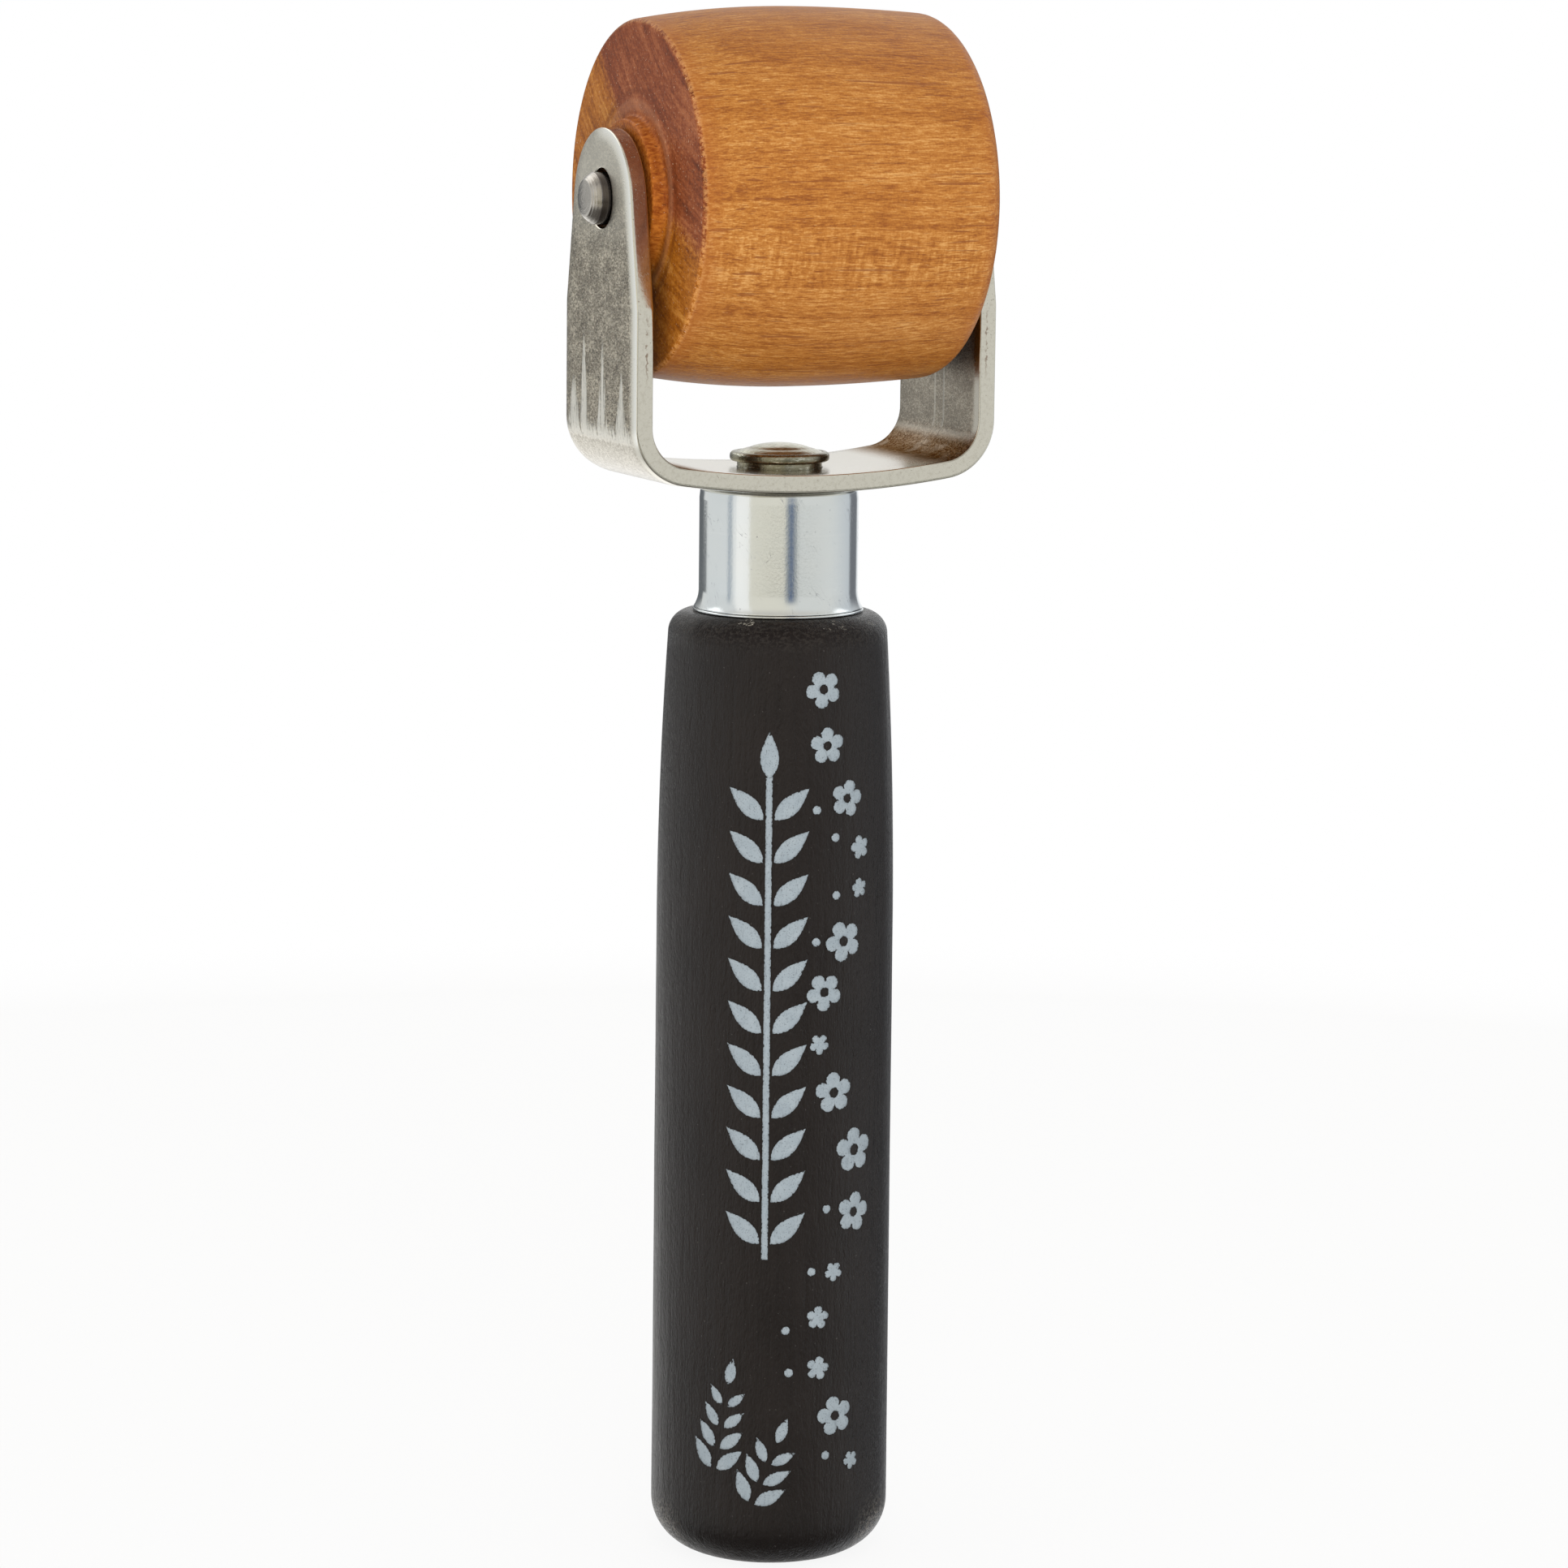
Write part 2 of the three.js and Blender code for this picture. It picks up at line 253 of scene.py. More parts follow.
def inside(points, loop):
    """Which of the points lie inside the loop."""
    p = np.array(loop, float)
    q = np.roll(p, -1, axis=0)
    x = points[:, 0][:, None]
    y = points[:, 1][:, None]
    crosses = (p[:, 1] > y) != (q[:, 1] > y)
    rise = np.where(q[:, 1] == p[:, 1], 1e-12, q[:, 1] - p[:, 1])
    at_x = p[:, 0] + (y - p[:, 1]) * (q[:, 0] - p[:, 0]) / rise
    return (crosses & (x < at_x)).sum(axis=1) % 2 == 1


def distance_to(points, loop):
    """Distance of each point from the loop's edges."""
    p = np.array(loop, float)[None, :, :]
    d = np.roll(p, -1, axis=1) - p
    rel = points[:, None, :] - p
    t = np.clip((rel * d).sum(axis=2) / np.maximum((d * d).sum(axis=2), 1e-12), 0, 1)
    return np.linalg.norm(rel - t[:, :, None] * d, axis=2).min(axis=1)


def fill_points(loops, margins, columns, rows):
    """Grid points in the material of a plate, clear of each loop by its margin."""
    grid = np.array([(u, v) for u in columns for v in rows], float)
    keep = inside(grid, loops[0])
    for loop, margin in zip(loops, margins):
        keep &= distance_to(grid, loop) > margin
    for hole in loops[1:]:
        keep &= ~inside(grid, hole)
    return grid[keep]


def triangulate(loops, extra):
    """Triangles over the area between the first loop and the others, as indices into loops, then extra."""
    coords = [Vector(p) for loop in loops for p in loop] + [Vector(p) for p in extra]
    edges = []
    start = 0
    for loop in loops:
        count = len(loop)
        edges += [(start + i, start + (i + 1) % count) for i in range(count)]
        start += count
    verts, _, tris, origin, _, _ = delaunay_2d_cdt(coords, edges, [], 1, 1e-7)
    centres = np.array([sum((verts[i] for i in t), Vector((0, 0))) / 3 for t in tris])
    keep = np.ones(len(tris), bool)
    for hole in loops[1:]:
        keep &= ~inside(centres, hole)
    return [tuple(origin[i][0] for i in t) for t, k in zip(tris, keep) if k]


def plate(loops, walks, columns, rows, margin):
    """A flat solid as (u, v, n) points and faces.

    loops are counter-clockwise: the outline, then the holes. Each loop has a walk, a list of (inset, n)
    pairs that goes round its edge from the low face to the high one. All walks are equally long.
    columns and rows give the grid that fills both faces.
    """
    normals = [loop_normals(loop) * (-1 if index else 1) for index, loop in enumerate(loops)]
    margins = [margin + max(inset for inset, _ in walk) for walk in walks]
    extra = fill_points(loops, margins, columns, rows)
    ring = sum(len(loop) for loop in loops)
    points = []
    layers = []
    for stops in zip(*walks):
        moved = [np.array(loop) - inset * normal for loop, normal, (inset, _) in zip(loops, normals, stops)]
        layers.append(moved)
        points += [(u, v, n) for loop, (_, n) in zip(moved, stops) for u, v in loop]
    faces = []
    for layer in range(len(layers) - 1):
        first = layer * ring
        for index, loop in enumerate(loops):
            count = len(loop)
            for i, j in zip(range(count), [*range(1, count), 0]):
                quad = (first + i, first + j, first + ring + j, first + ring + i)
                faces.append(quad[::-1] if index else quad)
            first += count
    for layer, n, turned in ((0, walks[0][0][1], True), (len(layers) - 1, walks[0][-1][1], False)):
        beyond = len(points) - ring
        points += [(u, v, n) for u, v in extra]
        for triangle in triangulate(layers[layer], extra):
            face = tuple(i + (layer * ring if i < ring else beyond) for i in triangle)
            faces.append(face[::-1] if turned else face)
    return points, faces


def edge_walk(low_round, high_round, widened=0.0, depth=0.25, roll=0.0, fall=0.0):
    """A walk round the strip's edge, with its two corners rounded. A hole can be widened to some depth.

    The high face can roll down to the edge by fall, over a run of roll.
    """
    low, high = -STRIP / 2, STRIP / 2 - fall
    walk = [(widened + low_round - dx, low + low_round - dy) for dx, dy in arc(0, 0, low_round, 90, 0, 4)]
    walk += [(widened, low + depth), (0.0, low + depth + 0.05), (0.0, high - high_round - 0.15)]
    walk += [(high_round - dx, high - high_round + dy) for dx, dy in arc(0, 0, high_round, 0, 90, 5)]
    steps = 9
    for i in range(1, steps + 1):
        share = i / steps
        walk.append((high_round + roll * share, high + fall * (1 - (1 - share) ** 2)))
    return walk


# ---- Shader helper

def arithmetic(operation, swapped=False):
    """A method for one arithmetic operator of Value."""
    def method(self, other=0.0):
        return self.shader.maths(operation, *((other, self) if swapped else (self, other)))
    return method


class Value:
    """An output socket of a node tree. Arithmetic with it adds maths nodes to the tree."""

    def __init__(self, shader, socket):
        self.shader = shader
        self.socket = socket

    __add__ = __radd__ = arithmetic("ADD")
    __sub__ = arithmetic("SUBTRACT")
    __rsub__ = arithmetic("SUBTRACT", swapped=True)
    __mul__ = __rmul__ = arithmetic("MULTIPLY")
    __truediv__ = arithmetic("DIVIDE")
    __pow__ = arithmetic("POWER")
    __abs__ = arithmetic("ABSOLUTE")


class Shader:
    """A node tree being built. Each method adds a node and returns its output as a Value."""

    def __init__(self, tree):
        self.tree = tree
        self.tree.nodes.clear()

    def node(self, kind, inputs=None, **settings):
        made = self.tree.nodes.new(kind)
        for key, value in settings.items():
            setattr(made, key, value)
        for key, value in (inputs or {}).items():
            self.plug(value, made.inputs[key])
        return made

    def value(self, output, kind, inputs=None, **settings):
        return Value(self, self.node(kind, inputs, **settings).outputs[output])

    def plug(self, value, socket):
        if isinstance(value, Value):
            self.tree.links.new(value.socket, socket)
        elif isinstance(value, tuple) and socket.type == "RGBA":
            socket.default_value = (*value, 1.0)
        else:
            socket.default_value = value

    def maths(self, operation, a, b=0.0):
        """A vector operation if either side is a vector, otherwise one on numbers."""
        for side in (a, b):
            if isinstance(side, tuple) or isinstance(side, Value) and side.socket.type == "VECTOR":
                return self.vector(operation, a, b)
        return self.value(0, "ShaderNodeMath", {0: a, 1: b}, operation=operation)

    def vector(self, operation, a, b=(0, 0, 0)):
        output = "Value" if operation in ("LENGTH", "DOT_PRODUCT") else "Vector"
        return self.value(output, "ShaderNodeVectorMath", {0: a, 1: b}, operation=operation)

    def larger(self, a, b):
        return self.maths("MAXIMUM", a, b)

    def split(self, vector):
        made = self.node("ShaderNodeSeparateXYZ", {0: vector})
        return [Value(self, socket) for socket in made.outputs]

    def combine(self, x, y, z):
        return self.value(0, "ShaderNodeCombineXYZ", {0: x, 1: y, 2: z})

    def length(self, x, y, z):
        return self.vector("LENGTH", self.combine(x, y, z))

    def noise(self, vector, scale=1.0, detail=2.0, roughness=0.5, distortion=0.0, output=0):
        """Output 0 is one noise, and output 1 is three independent ones as a vector."""
        inputs = {
            "Vector": vector, "Scale": scale, "Detail": detail,
            "Roughness": roughness, "Distortion": distortion,
        }
        return self.value(output, "ShaderNodeTexNoise", inputs)

    def step(self, value, low, high, out_low=0.0, out_high=1.0):
        """Smooth change from out_low to out_high as value goes from low to high."""
        inputs = {"Value": value, 1: low, 2: high, 3: out_low, 4: out_high}
        return self.value(0, "ShaderNodeMapRange", inputs, interpolation_type="SMOOTHSTEP")

    def fade(self, value, low, high):
        """Smooth change from 1 to 0 as value goes from low to high."""
        return self.step(value, low, high, 1.0, 0.0)

    def near(self, value, target, full, gone):
        """1 while value is within full of the target, 0 once it is further away than gone."""
        return self.fade(abs(value - target), full, gone)

    def mix(self, factor, a, b):
        return self.value(2, "ShaderNodeMix", {0: factor, 6: a, 7: b}, data_type="RGBA")

    def layers(self, colour, *coats):
        """A colour with others laid over it in turn. Each coat is (mask, colour)."""
        for mask, coat in coats:
            colour = self.mix(mask, colour, coat)
        return colour

    def ramp(self, factor, *stops):
        """Colours at places from 0 to 1. A single number stands for a grey."""
        made = self.node("ShaderNodeValToRGB", {0: factor})
        elements = made.color_ramp.elements
        while len(elements) < len(stops):
            elements.new(1.0)
        for element, (place, colour) in zip(elements, stops):
            element.position = place
            element.color = (*(colour if isinstance(colour, tuple) else (colour,) * 3), 1.0)
        return Value(self, made.outputs[0])

    def rounded_box(self, u, v, centre, half, radius):
        """Distance outside a box with round corners, below 0 inside it."""
        du = abs(u - centre[0]) - (half[0] - radius)
        dv = abs(v - centre[1]) - (half[1] - radius)
        corner = self.length(self.larger(du, 0.0), self.larger(dv, 0.0), 0.0)
        return corner + self.maths("MINIMUM", self.larger(du, dv), 0.0) - radius

    def bump(self, height, distance, strength=1.0):
        inputs = {"Height": height, "Distance": distance * MM, "Strength": strength}
        return self.value(0, "ShaderNodeBump", inputs)

    def place(self):
        """Position in the part's frame, in millimetres. It turns with the piece."""
        return self.value("Object", "ShaderNodeTexCoord") * (1 / MM, 1 / MM, 1 / MM)

    def facing(self):
        """The surface normal in the piece's own frame."""
        return self.value("Normal", "ShaderNodeTexCoord")

    def attribute(self, name):
        return self.value("Fac", "ShaderNodeAttribute", attribute_name=name)

    def ray(self, kind):
        """1 for rays of this kind."""
        return self.value(f"Is {kind} Ray", "ShaderNodeLightPath")

    def output(self, kind, surface):
        """Ends the tree with an output node."""
        self.plug(surface, self.node(kind).inputs[0])

    def finish(self, **inputs):
        named = {key.replace("_", " "): value for key, value in inputs.items()}
        self.output("ShaderNodeOutputMaterial", self.value(0, "ShaderNodeBsdfPrincipled", named))

    def metal(self, colour, rough, height, distance, strength, **more):
        normal = self.bump(height, distance, strength)
        self.finish(Base_Color=colour, Metallic=1.0, Roughness=rough, Normal=normal, **more)


def new_material(name, fill):
    """A material whose node tree is filled in by one of the functions below."""
    material = bpy.data.materials.new(name)
    material.use_nodes = True
    fill(Shader(material.node_tree))
    return material


# ---- Materials

PITH = (-31.8, 44.2)  # where the tree's centre was, across the grain from the axle: (y, z)
RING_SPACING = 2.9


def wood_material(s):
    """Oiled cherry-like wood, grain along X: fibres, pores, ray flecks, and darker streaked end grain."""
    p = s.place() - tuple(AXLE_CENTRE)
    x, y, z = s.split(p)
    sway = s.noise(p * (0.03, 0.05, 0.05), 1, 1, output=1) - (0.5, 0.5, 0.5)
    grain = p + sway * (0, 2.2, 2.2)
    _, gy, gz = s.split(grain)
    from_pith = s.length(0, gy - PITH[0], gz - PITH[1])
    ring = from_pith / RING_SPACING
    uneven = s.noise(s.combine(0, 0, ring), 0.7, 2)
    phase = s.maths("FRACT", ring + uneven * 2)
    late = phase ** 4 * s.fade(phase, 0.93, 1)

    # Fibres of three sizes, all much longer than they are thick.
    broad = s.noise(grain * (0.07, 0.8, 0.8), 1, 2)
    middle = s.noise(grain * (0.22, 3, 3), 1, 3, 0.6)
    fine = s.noise(grain * (0.85, 7, 7), 1, 2, 0.65)
    speckle = s.noise(p, 5, 2, 0.6)
    patch = s.noise(p * (0.1, 0.15, 0.15), 1, 2)
    mottled = s.noise(p * (1, 2.6, 2.6), 1, 4, 0.72)
    tone = 0.5
    for part, weight in ((broad, 0.36), (middle, 0.75), (fine, 1.3), (speckle, 0.6), (patch, 0.45)):
        tone += (part - 0.5) * weight
    tone -= late * 0.22

    # Rays show as short bright bars across the grain where the surface cuts the rings square on.
    radial = s.vector("NORMALIZE", s.combine(0, y - PITH[0], z - PITH[1]))
    square_on = abs(s.vector("DOT_PRODUCT", radial, s.facing()))
    quartered = s.fade(square_on, 0.04, 0.3)
    bars = s.noise(p * (2, 0.42, 0.42), 1, 2, 0.6)
    ray_band = s.step(bars, 0.36, 0.66, -0.6, 1) * quartered
    tone += ray_band * 0.15

    side = s.ramp(
        tone, (0.1, (0.27, 0.078, 0.01)), (0.36, (0.4, 0.138, 0.019)), (0.58, (0.49, 0.192, 0.034)),
        (0.88, (0.66, 0.33, 0.1)))
    # Thin dark lines follow the fibres; short dark and pale dashes are cut pores.
    line = s.step(s.noise(grain * (0.055, 3, 3), 1, 1), 0.675, 0.72)
    pores = s.noise(grain * (0.5, 6.5, 6.5), 1, 1)
    dark_dash = s.step(pores, 0.59, 0.72)
    light_dash = s.step(s.noise(grain * (0.8, 8, 8), 1.3, 1), 0.66, 0.78)
    side = s.layers(
        side, (line * 0.62, (0.23, 0.06, 0.014)), (dark_dash * 0.5, (0.29, 0.078, 0.01)),
        (light_dash * 0.4, (0.74, 0.42, 0.16)))
    # The crown reddens towards its rims, where more end grain is open.
    near_rim = s.step(mottled * 1.6 + abs(x), 12.6, 15.9)
    side = s.mix(near_rim * 0.5, side, (0.37, 0.1, 0.014))

    # End grain: purple-brown heartwood and golden sapwood in bands along the rings, with pale flecks.
    along = s.vector("DOT_PRODUCT", p, (0, 0.81, 0.58))
    bands = s.noise(s.combine(from_pith * 0.75, along * 0.07, 0), 1, 3, 0.6)
    streaks = s.noise(s.combine(from_pith * 3.2, along * 0.35, 0), 1, 3, 0.65)
    weave = s.noise(p * (1, 1.2, 5), 1, 3, 0.6)
    end_tone = 0.5
    for part, weight in ((bands, 1.1), (streaks, 0.75), (mottled, 0.9), (weave, 0.5), (patch, 0.4)):
        end_tone += (part - 0.5) * weight
    purple = s.ramp(
        end_tone, (0.12, (0.105, 0.022, 0.007)), (0.5, (0.235, 0.054, 0.015)), (0.9, (0.43, 0.145, 0.055)))
    golden = s.ramp(
        end_tone, (0.12, (0.19, 0.05, 0.004)), (0.5, (0.4, 0.128, 0.012)), (0.9, (0.62, 0.27, 0.055)))
    border = mottled * 3 + bands * 2 + from_pith
    from_axis = s.length(0, y, z)
    by_hub = s.fade(from_axis, HUB_RADIUS - 0.4, HUB_RADIUS + 1.2)
    orange = s.mix(s.step(mottled, 0.3, 0.7), (0.25, 0.05, 0.003), (0.58, 0.19, 0.026))
    # Painted highlight on the bead turned round the hub, and painted shade in the groove outside it.
    ridge_highlight = s.near(from_axis, HUB_RADIUS + 1.2, 0.25, 0.8)
    groove_shade = s.near(from_axis, HUB_RADIUS + 2.4, 0.1, 0.45)
    fleck = s.step(s.noise(p * (1, 5.5, 4.5), 1, 1), 0.7, 0.77)
    pit = s.step(s.noise(s.combine(from_pith * 4.5, along * 1.3, 0), 1.2, 1), 0.68, 0.76)
    end = s.layers(
        purple, (s.step(border, 53, 55.4), golden), (by_hub * 0.8, orange),
        (ridge_highlight * 0.3, (0.5, 0.23, 0.12)), (groove_shade * 0.35, (0.14, 0.03, 0.008)),
        (fleck * 0.65, (0.74, 0.5, 0.34)), (pit * 0.6, (0.085, 0.018, 0.006)))

    facing_x = abs(s.split(s.facing())[0])
    by_normal = s.step(mottled * 0.16 + facing_x, 0.42, 0.66)
    close = s.step(abs(x), roller_high.x - HUB_HEIGHT - 0.55, roller_high.x - HUB_HEIGHT - 0.2)
    by_normal *= close
    low_on_end = s.fade(from_axis, HUB_RADIUS + 1, HUB_RADIUS + 3)
    on_end = s.larger(by_normal, low_on_end)
    colour = s.mix(on_end, side, end)
    # A pale line along the rim is a painted highlight.
    rim = s.near(from_axis, LEFT_RIM[0] - 0.1, 0.05, 0.45) * close * s.step(mottled, 0.4, 0.6)
    colour = s.mix(rim * 0.55, colour, (0.72, 0.36, 0.13))

    rough = s.step(fine, 0.2, 0.8, 0.42, 0.6) - on_end * 0.1
    relief = fine - dark_dash * 0.8 - line * 0.7
    tool_marks = s.noise(s.combine(from_axis, 0, 0), 2.6, 3)
    turned = mottled * 0.9 + tool_marks
    relief = s.value(0, "ShaderNodeMix", {0: on_end, 2: relief, 3: turned})
    s.finish(
        Base_Color=colour, Roughness=rough, Normal=s.bump(relief, 0.035, 0.8),
        Specular_IOR_Level=s.step(on_end, 0, 1, 0.3, 0.1), Coat_Weight=s.step(on_end, 0, 1, 0.08, 0.02),
        Coat_Roughness=0.28)


def paint_material(s):
    """Satin black paint over turned wood: faint grain, dust, a painted grey sheen on the butt's two sides
    with faint wear at the shoulder, painted shade low down, and chips at the shoulder that are partly painted
    highlights.
    """
    p = s.place()
    z = s.split(p)[2]
    grain = s.noise(p * (1.7, 1.7, 0.09), 1, 3, 0.6)
    ripple = s.noise(p * (1.1, 1.1, 0.45), 1, 3, 0.6, 0.8)
    fine = s.noise(p * (5.5, 5.5, 1.8), 1, 3, 0.6)
    blotch = s.noise(p, 0.12, 3)
    shade = (blotch - 0.5) * 0.8 + 0.5 + (grain - 0.5) * 0.7
    colour = s.ramp(shade, (0.2, (0.008, 0.0055, 0.005)), (0.8, (0.015, 0.011, 0.01)))
    near_top = s.step(z, FOOT_Z - 3.6, FOOT_Z - 0.6)
    azimuth = math.radians(CAMERA_AZIMUTH)
    outward = s.vector("NORMALIZE", p * (1, 1, 0))
    flank = abs(s.vector("DOT_PRODUCT", outward, (math.cos(azimuth), math.sin(azimuth), 0)))
    # The two flanks of the handle as seen from the camera, where a grey sheen is painted near the butt.
    flank = s.step(flank, 0.7, 0.93)
    near_butt = s.fade(z, 2, 7) * flank
    edges = s.larger(near_top, near_butt)
    # A grey sheen painted on the butt's flanks and broken up by noise, plus faint wear at the shoulder.
    sheen_and_wear_noise = s.step(s.noise(p * (1.3, 1.3, 1.9), 2, 5, 0.74), 0.47, 0.58)
    sheen_and_wear = sheen_and_wear_noise * s.larger(near_butt, near_top * 0.1)
    # Painted shade: the lowest few millimetres of the handle are darker.
    underside_shade = s.fade(z, 2.5, 7.5)
    # Pale chips at the shoulder: partly chipped paint, partly painted highlights.
    chips = s.noise(p * (1, 1, 2.2), 1.5, 3, 0.7, 0.6)
    chips_and_glints = (
        s.step(chips, 0.6, 0.64) * s.step(z, FOOT_Z - 1.1, FOOT_Z - 0.3)
        * s.step(s.noise(p, 0.32, 1), 0.54, 0.62))
    dust = s.step(s.noise(p, 4.2, 1), 0.74, 0.8)
    colour = s.layers(
        colour, (underside_shade * 0.6, (0.0045, 0.003, 0.0027)), (sheen_and_wear * 0.7, (0.3, 0.265, 0.225)),
        (chips_and_glints * 0.9, (0.62, 0.58, 0.5)), (dust * 0.25, (0.2, 0.19, 0.185)))
    mixed = fine * 0.4 + grain * 0.6
    rough = s.step(mixed, 0.3, 0.7, 0.26, 0.42) - near_butt * 0.06 - near_top * flank * 0.12
    height = fine * 0.8 + grain * 0.8 + ripple * 0.8 + edges * fine * 1.6 - chips_and_glints * 1.2
    dull = s.step(z, FOOT_Z - 3, FOOT_Z - 0.8, 0.28, 0.11) + sheen_and_wear * 0.35 + near_top * flank * 0.4
    s.finish(Base_Color=colour, Roughness=rough, Normal=s.bump(height, 0.15, 1), Specular_IOR_Level=dull)


def ink_material(s):
    """Pale blue-grey screen-printed ink with pinholes and ragged edges."""
    p = s.place()
    depth = s.attribute("edge_depth")
    pin = s.noise(p, 7.5, 2, 0.6)
    rag = s.noise(p, 4.5, 2, 0.6)
    cover = depth + 0.72 - rag * 1.3
    inked = s.step(cover, 0, 0.22)
    pulled = s.noise(p * (5, 5, 1), 1, 3, 0.7)
    thin = s.larger(s.step(pin, 0.56, 0.7), s.step(pulled, 0.54, 0.74, 0, 0.6))
    tint = s.mix(s.noise(p, 0.9, 2), (0.26, 0.31, 0.355), (0.37, 0.42, 0.46))
    tint = s.mix(thin * 0.7, tint, (0.11, 0.12, 0.13))
    colour = s.mix(inked, (0.02, 0.018, 0.018), tint)
    height = inked * (1.2 - pin)
    s.finish(Base_Color=colour, Roughness=0.62, Normal=s.bump(height, 0.02, 0.6), Specular_IOR_Level=0.3)


def yoke_material(s):
    """Nickel-plated strip: mottled legs, smooth bends and base, scrapes, bright sheared edges, and a painted
    highlight along the rolled edges on the front.
    """
    p = s.place()
    x, y, z = s.split(p)
    facing_x = s.split(s.facing())[0]
    from_edge = s.attribute("from_edge")
    depth = s.attribute("depth")
    # This is 1 on the faces turned away from the barrel.
    outside = s.step(x * facing_x, 0, 1)
    inside_face = 1 - outside
    leg_face = s.step(abs(facing_x), 0.86, 0.96) * s.step(z, BASE_Z + 4.3, BASE_Z + 5.2)
    front = s.fade(y, -1, 3)
    rolled = s.fade(from_edge, 0, 1.9) * front
    field = leg_face * s.fade(rolled, 0, 0.7)
    sheared = s.fade(from_edge, 0, 0.02) * s.step(depth, 0.9, 0.8)

    # Short fine marks in every direction, in clouds, fading out towards the round tip.
    worms = s.noise(p * (2.7, 2.7, 5), 1, 3, 0.74, 1)
    needles = s.noise(p * (3.4, 3.4, 5.8), 1, 2, 0.6, 2)
    cloud = s.noise(p * (0.5, 0.35, 0.5), 1, 2)
    mottle = (cloud - 0.5) * 0.28 + worms
    fine = s.noise(p, 7, 3, 0.65, 0.4)
    near_tip = s.step(z, AXLE_Z - 6, AXLE_Z + 2.5)
    strength = field * (0.96 - near_tip * 0.62)
    etched = s.ramp(
        mottle, (0.36, (0.086, 0.069, 0.048)), (0.45, (0.195, 0.164, 0.12)), (0.53, (0.345, 0.298, 0.225)),
        (0.62, (0.66, 0.59, 0.475)))
    lit = s.step(needles, 0.57, 0.66)
    etched = s.mix(lit * 0.6, etched, (0.74, 0.7, 0.6))
    plating = s.mix(fine, (0.66, 0.625, 0.535), (0.76, 0.73, 0.65))
    # A painted highlight brightens the rolled edge on the front face of the legs.
    rolled_edge_highlight = s.mix(rolled ** 3, plating, (0.9, 0.89, 0.84))
    colour = s.layers(plating, (leg_face * outside, rolled_edge_highlight), (strength, etched))

    # Scrapes from the bending tool: groups of spikes that rise from a ragged line above the bend.
    line_z = s.noise(s.combine(0, y, 0), 1.6, 3, 0.7) * 0.9 + BASE_Z + 4.1
    rise = z - line_z
    lane = y * s.maths("SIGN", x * -1)
    reach = 2
    for centre, half_width, height in ((6.4, 1.8, 4), (3.9, 1.1, 8.5), (-0.7, 1.4, 7.5), (-5.2, 1.4, 5)):
        away = abs(lane - centre)
        reach += s.step(away, 0, half_width, height, 0)
    spikes = s.noise(s.combine(facing_x * 5, y, z * 0.03), 2.6, 3, 0.75)
    reach *= s.step(spikes, 0.3, 0.54)
    scrapes = s.step(rise, 0, 0.2) * s.fade(rise - reach, -1.1, 0.2) * field * outside
    thin = s.noise(s.combine(0, y, z * 0.12), 7, 2, 0.6)
    scrapes *= s.step(thin, 0.28, 0.46, 0.25, 1)
    colour = s.mix(scrapes * 0.9, colour, (0.88, 0.85, 0.77))
    # Below that line the outside of the bend is dulled: fine grey-beige speckle.
    bent = (
        s.step(abs(x), yoke_high.x - 7, yoke_high.x - 4) * outside * s.fade(rise, 0, 0.25)
        * s.fade(rolled, 0.1, 0.8) * s.step(depth, 0.9, 0.98))
    dulled = s.mix(s.step(worms, 0.4, 0.62), (0.315, 0.285, 0.23), (0.56, 0.525, 0.45))
    colour = s.mix(bent * 0.92, colour, dulled)

    # Inside the legs: a smoother face with the outline of the bending tool pressed into it.
    smooth_inside = leg_face * inside_face * 0.5
    colour = s.mix(smooth_inside, colour, (0.275, 0.24, 0.195))
    upright = s.rounded_box(y, z, (-0.1, BASE_Z + 8), (0.95, 4.6), 0.35)
    level = s.rounded_box(y, z, (-4.6, BASE_Z + 4.4), (3.6, 0.5), 0.45)
    pressed = s.fade(upright, -0.1, 0.02)
    # The pale line along the pressed outline is a painted highlight on its edge.
    outline = s.fade(abs(s.maths("MINIMUM", upright, level)), 0, 0.3) * leg_face * inside_face
    colour = s.mix(outline * 0.55, colour, (0.66, 0.63, 0.56))

    # The inner side of each bend, under the barrel, is darker and browner, and its reflections are tinted
    # brown.
    bend = s.step(abs(x), 9.5, 13.5)
    low = s.step(z, BASE_Z + 1.7, BASE_Z + 2.9) * s.fade(z, BASE_Z + 3.9, BASE_Z + 5.6)
    browned = bend * low * s.fade(depth, 0, 0.12) * s.step(fine * 0.35 + cloud, 0.42, 0.66, 0.78, 1)
    bend_brown = s.mix(s.step(worms, 0.42, 0.6), (0.11, 0.074, 0.05), (0.33, 0.27, 0.21))
    colour = s.mix(browned * 0.95, colour, bend_brown)
    grazing = s.mix(browned, (1, 1, 1), (0.45, 0.26, 0.13))

    # The sheared edge has a short run of dark torn metal and bright burrs.
    tear = s.noise(p, 1.6, 4, 0.7) * 0.5 + depth
    torn = (
        s.near(tear, 0.62, 0.02, 0.07) * s.step(z, AXLE_Z - 17, AXLE_Z - 14) * sheared
        * s.fade(z, AXLE_Z - 12, AXLE_Z - 9) * s.step(s.noise(p, 1.1, 1), 0.44, 0.56))
    specks = s.step(s.noise(p, 3.6, 2), 0.7, 0.76)
    grit = sheared * s.step(s.noise(p, 2.4, 4, 0.7), 0.45, 0.72, 0, 0.34)
    colour = s.layers(
        colour, (torn * 0.7, (0.18, 0.085, 0.04)), (specks * 0.4, (0.25, 0.2, 0.16)),
        (grit, (0.43, 0.385, 0.32)))
    burrs = s.step(s.noise(p, 4.6, 2), 0.69, 0.74) * s.fade(from_edge, 0, 0.1)

